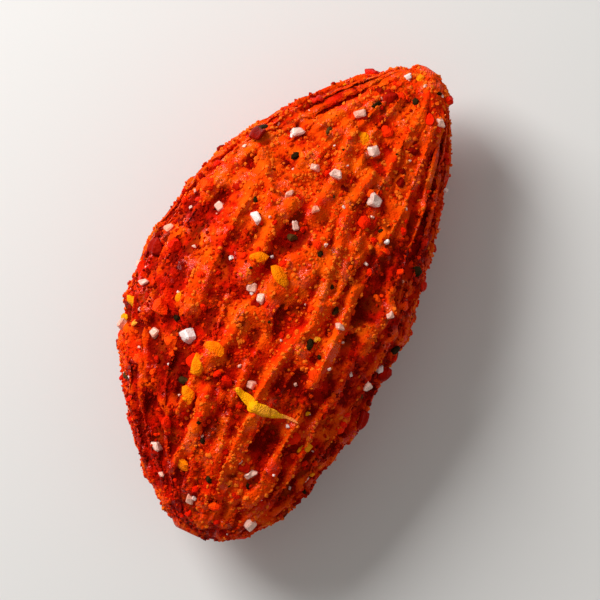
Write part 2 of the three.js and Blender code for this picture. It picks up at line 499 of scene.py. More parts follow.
def joined(shapes: list[Shape]) -> Shape:
    """One shape of many: their points in a row, with each shape's triangles counted on.

    Args:
        shapes: Shapes that carry the same attributes.

    Returns:
        The joined shape.
    """
    starts = np.cumsum([0] + [len(shape.points) for shape in shapes[:-1]])
    triangles = [shape.triangles + start for shape, start in zip(shapes, starts)]
    values = {key: np.concatenate([shape.values[key] for shape in shapes]) for key in shapes[0].values}
    return Shape(np.concatenate([shape.points for shape in shapes]), np.concatenate(triangles), values)


def closed_grid(rows: int, columns: int) -> Array:
    """Triangles of a skin of rows of points round an axis, closed by one point at each end.

    Point 0 is the first pole, then come the rows in order, and the other pole is last. Each square
    between two rows gives two triangles and each pole a fan.

    Args:
        rows: Rows of points between the poles.
        columns: Points in a row.

    Returns:
        Triangles shaped (count, 3).
    """
    here = np.arange(columns)
    after = (here + 1) % columns
    first = 1 + columns * np.arange(rows - 1)[:, None]
    a, b = first + here, first + after
    c, d = a + columns, b + columns
    body = np.stack([np.stack([a, c, b], axis=-1), np.stack([b, c, d], axis=-1)]).reshape(-1, 3)
    last = 1 + columns * (rows - 1)
    pole = np.full(columns, last + columns)
    start = np.stack([np.zeros(columns, int), 1 + here, 1 + after], axis=-1)
    end = np.stack([last + here, pole, last + after], axis=-1)
    return np.concatenate([start, body, end])


# ---- The crust ----


@dataclass(frozen=True)
class Wrinkle:
    """Lines that run along the nut and branch, where noise in the skin's grain crosses zero."""

    size: float
    height: float
    narrow: float
    seed: int

    def at(self, grain: Array) -> Array:
        """A bell across each line: the height times e to the minus square of noise over narrow."""
        level = value_noise(grain, self.size, self.seed) / self.narrow
        return self.height * np.exp(-level * level)


@dataclass(frozen=True)
class Bumps:
    """Smooth bumps and hollows of fractal noise."""

    size: float
    height: float
    octaves: int
    seed: int

    def at(self, points: Array) -> Array:
        """The height at each place, up to about the bumps' own height either way."""
        return self.height * fractal(points, self.size, self.octaves, self.seed)


@dataclass(frozen=True)
class Ridge:
    """A raised line on the upper face, as the path of X and Y that it takes seen from above."""

    path: tuple[Pair, ...]
    height: float = 0.28
    width: float = 0.3

    def nearness(self, points: Array) -> Array:
        """A bell across the line: e to the minus squared distance over squared width, seen from above.

        Args:
            points: Places, shaped (..., 3).

        Returns:
            Values from 0 to 1 shaped (...).
        """
        flat = points[..., :2]
        nearest = np.full(flat.shape[:-1], np.inf)
        for start, end in zip(np.array(self.path), np.array(self.path[1:])):
            way = end - start
            t = np.clip((flat - start) @ way / (way @ way), 0.0, 1.0)
            apart = flat - start - t[..., None] * way
            nearest = np.minimum(nearest, np.einsum("...i,...i", apart, apart))
        return np.exp(-nearest / self.width**2)


@dataclass(frozen=True)
class Pit:
    """A hollow between ridges on the upper face, which the colour darkens as painted shade: its middle, its
    half sizes and its depth.
    """

    x: float
    y: float
    long: float
    wide: float
    depth: float = 0.34

    def nearness(self, points: Array) -> Array:
        """e to the minus squared distance from the middle, with X and Y each over its half size."""
        x, y = (points[..., 0] - self.x) / self.long, (points[..., 1] - self.y) / self.wide
        return np.exp(-x * x - y * y)


@dataclass(frozen=True)
class Crust:
    """The kernel's skin under its oily film of chili: wandering furrows, wrinkles, clots and grit.

    A pair that is named an edge or a reach holds the two values that a smoothstep rises between. The
    fades at the poles and of the wrinkles are shares of the length, and the foot's is a height. The
    grid's rows run from pole to pole, and surround is how many of them a hollow is measured against.
    """

    kernel: Kernel
    ridges: tuple[Ridge, ...]
    pits: tuple[Pit, ...]
    columns: int = 374
    rows: int = 256
    even_share: float = 0.6
    wander: Bumps = Bumps(2.2, 0.3, 2, 11)
    raised: tuple[Wrinkle, ...] = (Wrinkle(1.5, 0.2, 0.15, 31), Wrinkle(0.8, 0.12, 0.2, 32))
    sunk: tuple[Wrinkle, ...] = (Wrinkle(1.1, 0.1, 0.13, 41), Wrinkle(0.45, 0.06, 0.18, 42))
    swells: Bumps = Bumps(2.4, 0.16, 1, 101)
    knobs: Bumps = Bumps(1.1, 0.2, 2, 91)
    ripples: Bumps = Bumps(0.3, 0.05, 2, 81)
    grit: Bumps = Bumps(0.2, 0.05, 2, 71)
    clot_size: float = 0.62
    clot_height: float = 0.15
    clot_seed: int = 61
    clot_patches: Bumps = Bumps(2.6, 1.0, 2, 51)
    clot_patch_edge: Pair = (-0.35, 0.3)
    broad_tide: Bumps = Bumps(2.6, 1.0, 1, 2608)
    near_tide: Bumps = Bumps(0.45 * 2.6, 1.0, 1, 2615)
    tide_gain: float = 1.1
    # Painted shade darkens the colour in the marked pits, and painted light brightens it on the marked ridges
    # and towards the tip.
    pit_painted_shade: float = 1.3
    ridge_painted_light: float = 0.75
    tip_painted_light: float = 0.7
    tip_light_reach: Pair = (2.0, 7.0)
    upper_edge: Pair = (0.45, 0.6)
    pole_guard: float = 0.003
    pole_fade: float = 0.012
    wrinkle_fade: float = 0.16
    foot_fade: float = 0.8
    settle: float = 0.17
    crest: float = 8.1
    pressed: float = 0.6
    full_depth: float = 0.6
    surround: int = 6
    usual_hollow: float = 0.42
    usual_depth: float = 0.45
    sunk_gain: float = 2.0
    depth_gain: float = 0.6

    def course(self, u: Array, s: Array) -> Array:
        """Furrow coordinates after the furrows have wandered sideways by smooth noise."""
        return u + self.wander.at(self.kernel.grain(u, s))

    def upper(self, points: Array) -> Array:
        """1 on the upper face and 0 on the lower, by how high a place lies."""
        return smoothstep(*self.upper_edge, points[..., 2] / self.kernel.thickness)

    def marked(self, points: Array, furrow: Array) -> Array:
        """Heights that the marked ridges and pits of the upper face add, with no furrow left under a ridge.

        Args:
            points: Places on the bare skin, shaped (..., 3).
            furrow: Depths of the furrows there.

        Returns:
            Heights in millimetres, shaped (...).
        """
        height = np.zeros(furrow.shape)
        cover = np.zeros(furrow.shape)
        for ridge in self.ridges:
            near = ridge.nearness(points)
            height = np.maximum(height, ridge.height * near)
            cover = np.maximum(cover, near)
        for pit in self.pits:
            height = height - pit.depth * pit.nearness(points)
        return self.upper(points) * (height + cover * furrow)

    def clot(self, points: Array) -> Array:
        """How far spice has clotted, from 0 to 1: pebbles that only patches of the nut carry."""
        patches = smoothstep(*self.clot_patch_edge, self.clot_patches.at(points))
        return pebbles(points, self.clot_size, self.clot_seed) * patches

    def tide_and_light(self, points: Array) -> Array:
        """How far the crust's colour is darker, up to 1, or brighter, down to -1, in patches of two sizes.

        It grows brighter towards the tip and on the marked ridges as painted light, and darker in the
        marked pits as painted shade.

        Args:
            points: Places on the bare skin, shaped (..., 3).

        Returns:
            Values shaped (...).
        """
        patches = self.broad_tide.at(points) + self.near_tide.at(points)
        # Painted light: the colour grows brighter towards the tip.
        lean = self.tip_painted_light * smoothstep(*self.tip_light_reach, points[..., 0])
        upper = self.upper(points)
        # Painted light on the marked ridges, painted shade in the marked pits.
        ridges = upper * np.max([ridge.nearness(points) for ridge in self.ridges], axis=0)
        pits = upper * sum(pit.nearness(points) for pit in self.pits)
        tide_and_light = self.tide_gain * patches - lean + self.pit_painted_shade * pits - self.ridge_painted_light * ridges
        return np.clip(tide_and_light, -1.0, 1.0)

    def relief(self, u: Array, s: Array, skin: Array) -> Array:
        """Heights over the bare skin: raised less sunk lines, marks, clots, knobs, ripples and grit.

        All of it is let down by settle, so that the crust is no thicker than the solid's on average.

        Args:
            u: Furrow coordinates.
            s: Shares of the length.
            skin: The bare skin's points there.

        Returns:
            Heights in millimetres, 0 at both poles and on the flat.
        """
        grain = self.kernel.grain(u, s)
        ends = fade_ends(s, self.wrinkle_fade, self.wrinkle_fade)
        raised, sunk = (sum(line.at(grain) for line in lines) * ends for lines in (self.raised, self.sunk))
        height = raised - sunk - self.settle + self.marked(skin, self.kernel.furrow(self.course(u, s), s))
        height += self.clot_height * self.clot(skin)
        height += self.swells.at(skin)
        height += self.knobs.at(skin)
        height += self.ripples.at(grain)
        height += self.grit.at(skin)
        poles = fade_ends(s, self.pole_fade, self.pole_fade)
        return height * poles * smoothstep(0.0, self.foot_fade, skin[..., 2])

    def surface(self, u: Array, s: Array) -> Array:
        """Points of the crust: the bare skin, moved along its normal by the relief, above the floor.

        Places over the crest level are pressed down by a share of their height over it, squared.

        Args:
            u: Furrow coordinates.
            s: Shares of the length.

        Returns:
            Points shaped (..., 3).
        """
        u, s = np.broadcast_arrays(u, s)
        course = self.course(u, s)
        bare = skin_frames(self.kernel.skin, course, np.clip(s, self.pole_guard, 1 - self.pole_guard))
        skin = self.kernel.skin(course, s)
        points = skin + bare.normals * self.relief(u, s, skin)[..., None]
        over = np.maximum(points[..., 2] - self.crest, 0.0)
        points[..., 2] = np.maximum(points[..., 2] - self.pressed * over**2, 0.0)
        return points

    def depth(self, u: Array, s: Array) -> Array:
        """How deep a place lies below the ridges, as a share of a full furrow."""
        course = self.course(u, s)
        below = self.kernel.furrow(course, s) - self.relief(u, s, self.kernel.skin(course, s))
        return below / self.full_depth

    def hollow(self, u: Array, s: Array) -> Array:
        """How far a place of the grid is a hollow, from 0 on a crest to 1 on a furrow's floor.

        Two things count: how deep it lies, and how far it is below what surrounds it.

        Args:
            u: Furrow coordinates, shaped (rows, columns).
            s: Shares of the length, shaped the same.

        Returns:
            Shares shaped (rows, columns).
        """
        depth = self.depth(u, s)
        sunk = depth - blurred(depth, self.surround)
        hollow = self.usual_hollow + self.sunk_gain * sunk + self.depth_gain * (depth - self.usual_depth)
        return np.clip(hollow, 0.0, 1.0)

    def build(self, material: Material) -> Object:
        """The crust as one closed skin on a grid of u and s, with rows that crowd towards both ends.

        Args:
            material: What it is dressed in.

        Returns:
            The finished piece.
        """
        even = np.arange(1, self.rows + 1) / (self.rows + 1)
        crowded = (1 - np.cos(np.pi * even)) / 2
        shares = self.even_share * even + (1 - self.even_share) * crowded
        u, s = np.meshgrid(self.kernel.furrows * np.arange(self.columns) / self.columns, shares)
        ends = self.surface(np.zeros(2), np.array([0.0, 1.0]))
        points = np.concatenate([ends[:1], self.surface(u, s).reshape(-1, 3), ends[1:]])
        skin = self.kernel.skin(u, s)
        # The hollow darkens the colour in the furrows, partly as painted shade, and the last value adds
        # painted light on the ridges and towards the tip and painted shade in the pits.
        values = {"hollow": self.hollow(u, s), "clot": self.clot(skin), "tide_and_light": self.tide_and_light(skin)}
        values = {name: np.pad(value.ravel(), 1, mode="edge") for name, value in values.items()}
        shape = Shape(points, closed_grid(self.rows, self.columns), values)
        return shape.piece("almond_crust", Slot.CRUST, material, smooth=True)


# ---- The coat's loose bits ----


def icosahedron() -> tuple[Array, Array]:
    """Unit icosahedron: corners are the turns of (0, 1, golden ratio) with both signs.

    Its edges are 2 long before its corners are brought to unit distance, and its triangles are the
    triples of corners that are all one edge apart.

    Returns:
        Corners shaped (12, 3) and triangles shaped (20, 3).
    """
    golden, over_edge = (1 + math.sqrt(5)) / 2, 2.1
    signs = np.array(list(product((-1, 1), repeat=2)))
    flat = np.stack([np.zeros(4), signs[:, 0], signs[:, 1] * golden], axis=-1)
    corners = np.concatenate([np.roll(flat, turn, axis=1) for turn in range(3)])
    triples = np.array(list(combinations(range(12), 3)))
    sides = corners[triples] - corners[np.roll(triples, 1, axis=1)]
    triples = triples[np.all(np.linalg.norm(sides, axis=-1) < over_edge, axis=1)]
    a, b, c = (corners[triples[:, k]] for k in range(3))
    inward = np.einsum("ij,ij->i", np.cross(b - a, c - a), a + b + c) < 0
    triples[inward] = triples[inward][:, ::-1]
    return unit(corners), triples


@dataclass(frozen=True)
class Crumb:
    """A lumpy crumb: an icosahedron whose corners each stand at a drawn distance from the middle.

    A fine crumb has each edge split once. The new points stand at their two corners' mean distance,
    times a drawn bulge near 1.
    """

    fine: bool
    reach: Pair = (0.29, 0.6)
    bulge: Pair = (0.78, 1.12)
    corner_key: Triple = (14.0, 26.0, 58.0)
    corner_draws: int = 31
    edge_draws: int = 57

    def shapes(self, index: Array) -> tuple[Array, Array]:
        """Points of crumbs, each corner drawn by a whole number that its place gives it.

        Args:
            index: The crumbs' numbers.

        Returns:
            Points shaped (count, corners, 3), about 1 across, and the triangles of one crumb.
        """
        corners, triangles = icosahedron()
        key = np.rint(corners @ np.array(self.corner_key))
        away = between(*self.reach, draw(index[:, None] * self.corner_draws + key, Channel.CORNER))
        if not self.fine:
            return corners * away[..., None], triangles
        edges = np.sort(triangles[:, [[0, 1], [1, 2], [2, 0]]].reshape(-1, 2), axis=1)
        pairs, found = np.unique(edges, axis=0, return_inverse=True)
        halves = unit(corners[pairs].mean(axis=1))
        own = draw(index[:, None] * self.edge_draws + np.arange(len(pairs)), Channel.UNEVEN)
        half_away = away[:, pairs].mean(axis=2) * between(*self.bulge, own)
        a, b, c = triangles.T
        ab, bc, ca = found.reshape(-1, 3).T + len(corners)
        quarters = ((a, ab, ca), (ab, b, bc), (ca, bc, c), (ab, bc, ca))
        points = np.concatenate([corners * away[..., None], halves * half_away[..., None]], axis=1)
        return points, np.concatenate([np.stack(quarter, axis=1) for quarter in quarters])


@dataclass(frozen=True)
class Flake:
    """A thin curled flake: an uneven many-cornered sheet, thickest in its middle."""

    corners: int = 7
    per_side: int = 3
    rings: int = 4
    reach: Pair = (0.38, 0.54)
    shift: float = 0.5
    rough: Pair = (0.9, 1.08)
    edge_draws: int = 41
    curl: Pair = (-0.7, 0.45)
    ripple: float = 0.3
    ripple_along: float = 9.0
    ripple_across: float = 7.0
    thinning: float = 0.62

    def shapes(self, index: Array) -> tuple[Array, Array]:
        """Points of flakes, each a stack of an upper and a lower sheet that meet at the edge.

        A point at ring share r and side share t lies at r times the edge's place. The edge runs
        straight between drawn corners, and each of its points is then moved in or out a little. The
        height is half the thickness, less the thinning times r squared of it, plus a curl that grows
        as the square of the distance along one way, and a sine's ripple.

        Args:
            index: The flakes' numbers.

        Returns:
            Points shaped (count, corners, 3), about 1 long and 1 thick, and the triangles of one flake.
        """
        numbers, edge_points = np.arange(self.corners), self.corners * self.per_side
        turn = numbers + self.shift * draw(index[:, None], Channel.FLAKE_ANGLE + numbers)
        far = between(*self.reach, draw(index[:, None], Channel.FLAKE_REACH + numbers))
        angle = TURN * turn / self.corners
        corner = np.stack([np.cos(angle) * far, np.sin(angle) * far], axis=-1)
        t = (np.arange(self.per_side) / self.per_side)[:, None]
        edge = corner[:, :, None] * (1 - t) + np.roll(corner, -1, axis=1)[:, :, None] * t
        edge = edge.reshape(len(index), 1, edge_points, 2)
        own = draw(index[:, None] * self.edge_draws + np.arange(edge_points), Channel.UNEVEN)
        edge = edge * between(*self.rough, own)[:, None, :, None]
        r = (np.arange(1, self.rings + 1) / self.rings)[:, None, None]
        flat = edge * r
        x, y = flat[..., 0], flat[..., 1]
        curl = between(*self.curl, draw(index, Channel.UNEVEN))[:, None, None]
        bend = curl * 4 * x**2 + self.ripple * np.sin(self.ripple_along * x + self.ripple_across * y)
        thick = 0.5 * (1 - self.thinning * r[..., 0] ** 2) + 0 * bend
        top = np.concatenate([flat, (thick + bend)[..., None]], axis=-1)
        under = np.concatenate([flat, (bend - thick)[..., None]], axis=-1)[:, ::-1]
        middle = np.broadcast_to(np.array([[0.0, 0.0, 0.5]]), (len(index), 1, 3))
        body = np.concatenate([top, under], axis=1).reshape(len(index), -1, 3)
        return np.concatenate([middle, body, middle * -1], axis=1), closed_grid(2 * self.rings, edge_points)


@dataclass(frozen=True)
class Crystal:
    """A small bevelled block, each of its sides scaled by its own draw."""

    power: float = 0.4
    steps: int = 8
    side: Pair = (0.32, 0.5)
    uneven: Pair = (0.62, 1.2)
    side_draws: int = 17
    eighth_draws: int = 23

    def shapes(self, index: Array) -> tuple[Array, Array]:
        """Points of crystals: rounded blocks on a coarse grid.

        Round the axis the sides are the cosine and sine to a power, at each step of a turn, and up
        the axis the same at four, which leaves flat faces with a bevel between them. Each eighth of
        the block then shrinks or grows by a draw, so that its faces aren't quite square to each other.

        Args:
            index: The crystals' numbers.

        Returns:
            Points shaped (count, corners, 3), about 1 across, and the triangles of one crystal.
        """
        across = TURN * (np.arange(self.steps) + 0.5) / self.steps
        up = TURN * np.array([1.5, 0.5, -0.5, -1.5]) / self.steps
        ring = signed_power(np.cos(up), self.power)[:, None]
        x = ring * signed_power(np.cos(across), self.power)
        y = ring * signed_power(np.sin(across), self.power)
        z = signed_power(np.sin(up), self.power)[:, None] + 0 * x
        cap = np.array([[0.0, 0.0, z.max()]])
        block = np.concatenate([cap, np.stack([x, y, z], axis=-1).reshape(-1, 3), -cap])
        sides = between(*self.side, draw(index[:, None] * self.side_draws + np.arange(3), Channel.UNEVEN))
        eighth = (block > 0) @ np.array([1, 2, 4])
        own = draw(index[:, None] * self.eighth_draws + eighth, Channel.CORNER)
        points = block * sides[:, None, :] * between(*self.uneven, own)[..., None]
        return points, closed_grid(len(up), self.steps)


class Look(Enum):
    """What a kind of bit is shaped like."""

    CRUMB = Crumb(fine=True)
    GRAIN = Crumb(fine=False)
    FLAKE = Flake()
    CRYSTAL = Crystal()


@dataclass(frozen=True)
class Kind:
    """One kind of bit: how many places are tried, its sizes, and how it lies in the coat.

    wide and high are shares of the length, which is drawn from its least to its most, more often near
    the least as small_bias grows. tilt is how far it may lean, and sunk is the share of its height
    below the skin. patch is how far the kind gathers in patches, and furrow how far it gathers in
    furrows, or on ridges where it is below 0. follow is how far its tones follow the crust's tide and
    depth. margin is the share of the nut left free at each end. steps are how far along u and s the
    skin's slope is taken, so that large bits lie across furrows. A try below lowest or above highest
    isn't kept, and marks are bits of the upper face that are listed: X, Y, length and tone.
    """

    look: Look
    first: int
    tries: int
    length: Pair
    wide: float
    high: float
    tilt: float
    sunk: float
    small_bias: float = 1.0
    patch: float = 0.0
    furrow: float = 0.0
    # follow makes bits darker in the furrows, partly as painted shade, and in the pits as painted shade, and
    # lighter on the ridges and towards the tip as painted light.
    follow: float = 0.0
    margin: float = 0.004
    steps: Pair = (0.05, 0.005)
    lowest: float = 0.3
    highest: float = 20.0
    marks: Marks = ()


@dataclass(frozen=True)
class Coat:
    """Lays bits on the crust, evenly over its area where a kind doesn't ask otherwise."""

    kernel: Kernel
    crust: Crust
    largest_area: float = 60.0
    jitter: float = 0.03
    golden: Pair = (0.7548776662466927, 0.5698402909980532)
    patch_size: float = 2.2
    patch_edge: Pair = (-0.3, 0.3)
    patch_seed: int = 7
    # How far bits darken in the furrows, partly as painted shade.
    depth_push: float = 1.6
    usual_depth: float = 0.4

    def deep(self, u: Array, s: Array) -> Array:
        """How deep a place lies, from 0 on a ridge to 1 on a full furrow's floor."""
        return np.clip(self.crust.depth(u, s), 0.0, 1.0)

    def tries(self, kind: Kind) -> tuple[Array, Array, Array]:
        """Numbers of a kind's kept tries, and their u and s.

        A try's places are half plus its number times a golden step, and a little jitter, all
        without its whole part. It is kept where its draw is under the area that it stands for, times
        the kind's own liking for the place.

        Args:
            kind: The kind of bit.

        Returns:
            Numbers, furrow coordinates and shares of the length.
        """
        index = kind.first + np.arange(kind.tries)
        along = 0.5 + index * self.golden[0] + self.jitter * draw(index, Channel.ALONG)
        rounds = 0.5 + index * self.golden[1] + self.jitter * draw(index, Channel.ROUND)
        u = self.kernel.furrows * np.mod(rounds, 1.0)
        s = between(kind.margin, 1 - kind.margin, np.mod(along, 1.0))
        bare = skin_frames(self.kernel.skin, u, s)
        liking = np.ones(len(index))
        if kind.patch:
            patches = fractal(bare.points, self.patch_size, 2, kind.first + self.patch_seed)
            liking *= 1 - kind.patch * (1 - smoothstep(*self.patch_edge, patches))
        if kind.furrow:
            deep = self.deep(u, s)
            liking *= 1 - abs(kind.furrow) * (1 - deep if kind.furrow > 0 else deep)
        kept = bare.areas / self.largest_area * liking > draw(index, Channel.KEEP)
        kept &= (bare.points[:, 2] > kind.lowest) & (bare.points[:, 2] < kind.highest)
        return index[kept], u[kept], s[kept]

    def placed(self, kind: Kind) -> tuple[Array, ...]:
        """A kind's bits, which are the kept tries and then the marks.

        Args:
            kind: The kind of bit.

        Returns:
            Numbers, furrow coordinates, shares of the nut's length, lengths and tones.
        """
        index, u, s = self.tries(kind)
        length = between(*kind.length, draw(index, Channel.SIZE) ** kind.small_bias)
        tone = draw(index, Channel.TONE)
        if kind.follow:
            # Bits darken in the furrows, partly as painted shade, and take the crust's painted light and
            # shade.
            push = self.depth_push * (self.deep(u, s) - self.usual_depth)
            dark = self.crust.tide_and_light(self.kernel.skin(u, s)) + push
            tone = np.clip(tone - kind.follow * dark, 0.0, 1.0)
        tried = (index, u, s, length, tone)
        if not kind.marks:
            return tried
        x, y, marked_length, marked_tone = np.array(kind.marks).T
        numbers = kind.first + kind.tries + np.arange(len(x))
        marked = (numbers, *self.kernel.place(x, y), marked_length, marked_tone)
        return tuple(np.concatenate(pair) for pair in zip(tried, marked))

    def lay(self, kind: Kind) -> Shape:
        """The bits of one kind, each turned to the skin's normal, leant, spun and lifted.

        A bit's points are scaled, leant about X and then Y, spun about Z, and turned by the shortest
        way from Z to the normal.

        Args:
            kind: The kind of bit.

        Returns:
            All of them as one shape, with each bit's tone.
        """
        index, u, s, length, tone = self.placed(kind)
        place = skin_frames(self.crust.surface, u, s, *kind.steps)
        scale = length[:, None] * np.array([1.0, kind.wide, kind.high])
        lean_x = kind.tilt * (draw(index, Channel.LEAN_X) - 0.5)
        lean_y = kind.tilt * (draw(index, Channel.LEAN_Y) - 0.5)
        spin = TURN * draw(index, Channel.SPIN)
        points, triangles = kind.look.value.shapes(index)
        turn = shortest_turn(place.normals) @ axis_turn(2, spin) @ axis_turn(1, lean_y) @ axis_turn(0, lean_x)
        middle = place.points + place.normals * (length * kind.high * (0.5 - kind.sunk))[:, None]
        laid = np.einsum("kij,kvj->kvi", turn, points * scale[:, None]) + middle[:, None]
        laid[..., 2] = np.maximum(laid[..., 2], 0.0)
        per_bit = points.shape[1]
        starts = (np.arange(len(index)) * per_bit)[:, None, None]
        tones = {"tone": np.repeat(tone, per_bit)}
        return Shape(laid.reshape(-1, 3), (triangles + starts).reshape(-1, 3), tones)


def axis_turn(axis: int, angle: Array) -> Array:
    """Turns about one axis: the matrix of cosines and sines in the plane of the other two.

    Args:
        axis: 0, 1 or 2 for X, Y or Z.
        angle: Angles in radians.

    Returns:
        Matrices shaped (count, 3, 3).
    """
    one, two = (axis + 1) % 3, (axis + 2) % 3
    turn = np.zeros((len(angle), 3, 3))
    turn[:, axis, axis] = 1
    turn[:, one, one] = turn[:, two, two] = np.cos(angle)
    turn[:, two, one] = np.sin(angle)
    turn[:, one, two] = -np.sin(angle)
    return turn


def shortest_turn(normals: Array) -> Array:
    """Turns that take Z to each normal by the shortest way.

    With v the cross product of Z and the normal, the turn is the identity, plus v's cross matrix,
    plus that matrix squared over 1 plus the normal's own Z.

    Args:
        normals: Unit vectors shaped (count, 3).

    Returns:
        Matrices shaped (count, 3, 3).
    """
    least = 1e-6
    x, y, z = normals.T
    cross = np.zeros((len(normals), 3, 3))
    cross[:, 0, 2], cross[:, 2, 0] = x, -x
    cross[:, 1, 2], cross[:, 2, 1] = y, -y
    return np.eye(3) + cross + cross @ cross / np.maximum(1 + z, least)[:, None, None]


@dataclass(frozen=True)
class Fibre:
    """A pale shred of chili that lies across the furrows of the upper face."""

    kernel: Kernel
    crust: Crust
    path: tuple[Pair, ...] = ((-5.35, -0.75), (-5.62, -1.7), (-5.68, -2.6), (-5.52, -3.4), (-5.45, -4.1))
    radius: float = 0.29
    thinnest: float = 0.42
    taper: Pair = (0.45, 0.8)
    end_power: float = 0.45
    ripples: tuple[Wave, ...] = (Wave(0.1, 19, 0, 2), Wave(0.09, 43, 0, 0))
    flatness: float = 0.45
    strands: int = 4
    groove: float = 0.16
    winding: float = 4.0
    lift: float = 0.14
    least_lift: float = 0.06
    bed_blur: int = 12
    path_blur: int = 4
    slope_step: float = 0.4
    rows: int = 96
    sides: int = 24
    tone: float = 0.68
    tip_tone: float = 0.28
    tip_reach: Pair = (0.6, 1.0)

    def build(self, material: Material) -> Object:
        """The shred as a flattened round profile carried along a smooth path over the crust.

        Its radius follows the sine of the way along, to a power, so that both ends close, and narrows
        by smoothstep past its middle, with two ripples, which are sines of the way along. Round the
        profile it swells and shrinks as the cosine of the strands' angle, which winds along the shred.

        Args:
            material: What it is dressed in.

        Returns:
            The finished piece.
        """
        t = np.arange(self.rows + 2) / (self.rows + 1)
        knots = np.linspace(0, 1, len(self.path))
        x, y = (np.polyval(np.polyfit(knots, side, len(knots) - 1), t) for side in np.array(self.path).T)
        u, s = self.kernel.place(x, y)
        place = skin_frames(self.kernel.skin, u, s, step_u=self.slope_step)
        path = self.crust.surface(u, s)
        bed = blurred(path[:, 2:], self.bed_blur)
        path[:, 2:] = blurred(np.maximum(bed + self.lift, path[:, 2:] + self.least_lift), self.path_blur)
        way = unit(np.gradient(path, axis=0))
        across = unit(np.cross(way, place.normals))
        up = np.cross(across, way)
        narrow = 1 - (1 - self.thinnest) * smoothstep(*self.taper, t)
        ripple = sum((wave.at(t, t) for wave in self.ripples), start=1)
        radius = self.radius * narrow * ripple * np.sin(np.pi * t) ** self.end_power
        turn = TURN * np.arange(self.sides) / self.sides
        strand = 1 + self.groove * np.cos(self.strands * turn + self.winding * t[1:-1, None])[..., None]
        flat = np.cos(turn)[:, None] * across[1:-1, None]
        ring = strand * (flat + self.flatness * np.sin(turn)[:, None] * up[1:-1, None])
        body = path[1:-1, None] + ring * radius[1:-1, None, None]
        points = np.concatenate([path[:1], body.reshape(-1, 3), path[-1:]])
        along = np.concatenate([t[:1], np.repeat(t[1:-1], self.sides), t[-1:]])
        tones = {"tone": self.tone + self.tip_tone * smoothstep(*self.tip_reach, along)}
        shape = Shape(points, closed_grid(self.rows, self.sides), tones)
        return shape.piece("chili_fibre", Slot.SEED, material, smooth=True)


# ---- Shader nodes ----

NUMBER = "NodeSocketFloat"
VECTOR = "NodeSocketVector"


class Bench:
    """A node tree, with short calls to add nodes and to feed their sockets."""

    def __init__(self, tree: Tree) -> None:
        """Starts on an empty tree."""
        self.tree = tree
        tree.nodes.clear()

    def feed(self, node: Node, values: Values) -> None:
        """Gives a node's inputs what they take: a socket is joined, and a constant is set.

        Args:
            node: The node.
            values: Sockets, numbers or colours for its inputs, by their names or places.
        """
        for key, value in values.items():
            socket = node.inputs[key]
            if isinstance(value, Socket):
                self.tree.links.new(value, socket)
            elif socket.type == "RGBA":
                socket.default_value = (*value, 1.0)
            else:
                socket.default_value = value

    def add(self, kind: str, values: Values | None = None, **settings: str | bool | Tree) -> Node:
        """Adds a node.

        Args:
            kind: Its type, without the words ShaderNode.
            values: What its inputs take, by their names or places.
            settings: Properties of the node itself.

        Returns:
            The new node.
        """
        node = self.tree.nodes.new("ShaderNode" + kind)
        for key, value in settings.items():
            setattr(node, key, value)
        self.feed(node, values or {})
        return node

    def math(self, operation: str, first: float | Socket, second: float | Socket) -> Socket:
        """The result of a Math node on two sockets or numbers."""
        return self.add("Math", {0: first, 1: second}, operation=operation).outputs[0]

    def plus(self, first: float | Socket, second: float | Socket) -> Socket:
        """The sum of two sockets or numbers."""
        return self.math("ADD", first, second)

    def times(self, first: float | Socket, second: float | Socket) -> Socket:
        """The product of two sockets or numbers."""
        return self.math("MULTIPLY", first, second)

    def spread(self, source: Socket, low: float, high: float, a: float = 0.0, b: float = 1.0) -> Socket:
        """Maps low to a and high to b, and stops there."""
        values = {"Value": source, "From Min": low, "From Max": high, "To Min": a, "To Max": b}
        return self.add("MapRange", values).outputs["Result"]

    def ramp(self, source: Socket, stops: Stops) -> Socket:
        """Colours that follow a value through the given stops.

        Args:
            source: The value, from 0 to 1.
            stops: Places from 0 to 1 in order, each with its colour.

        Returns:
            The colour.
        """
        node = self.add("ValToRGB", {"Fac": source})
        band = node.color_ramp.elements
        for _ in stops[2:]:
            band.new(0.5)
        for element, (place, colour) in zip(band, stops):
            element.position = place
            element.color = (*colour, 1.0)
        return node.outputs["Color"]

    def mix(self, share: Value, first: Value, second: Value) -> Socket:
        """Two colours mixed by a share."""
        factor, a, b, result = 0, 6, 7, 2
        values = {factor: share, a: first, b: second}
        return self.add("Mix", values, data_type="RGBA", clamp_factor=True).outputs[result]

    def attribute(self, name: str) -> Socket:
        """A value that the piece's points carry."""
        return self.add("Attribute", attribute_name=name).outputs["Fac"]

    def noise(self, vector: Socket, scale: Value, detail: float, roughness: float = 0.5) -> Socket:
        """Noise from 0 to 1, with the given number of bumps in a metre."""
        values = {"Vector": vector, "Scale": scale, "Detail": detail, "Roughness": roughness}
        return self.add("TexNoise", values).outputs["Fac"]

    def patches(self, vector: Socket, size: float, start: float, full: float, detail: float = 3.0) -> Socket:
        """A mask of patches of about the given size in millimetres, from where noise is over start."""
        return self.spread(self.noise(vector, 1 / (size * MM), detail), start, full)


def new_group(
    name: str, inputs: dict[str, float | None], outputs: dict[str, str]
) -> tuple[Bench, Node, Node]:
    """A shader node group with named sockets.

    Args:
        name: The group's name.
        inputs: Each input's default number, or None for a vector.
        outputs: Each output's type.

    Returns:
        The group's bench, the node that its inputs come from and the node that takes its outputs.
    """
    tree = bpy.data.node_groups.new(name, "ShaderNodeTree")
    bench = Bench(tree)
    for key, default in inputs.items():
        kind = VECTOR if default is None else NUMBER
        socket = tree.interface.new_socket(key, in_out="INPUT", socket_type=kind)
        if default is not None:
            socket.default_value = default
    for key, kind in outputs.items():
        tree.interface.new_socket(key, in_out="OUTPUT", socket_type=kind)
    return bench, tree.nodes.new("NodeGroupInput"), tree.nodes.new("NodeGroupOutput")


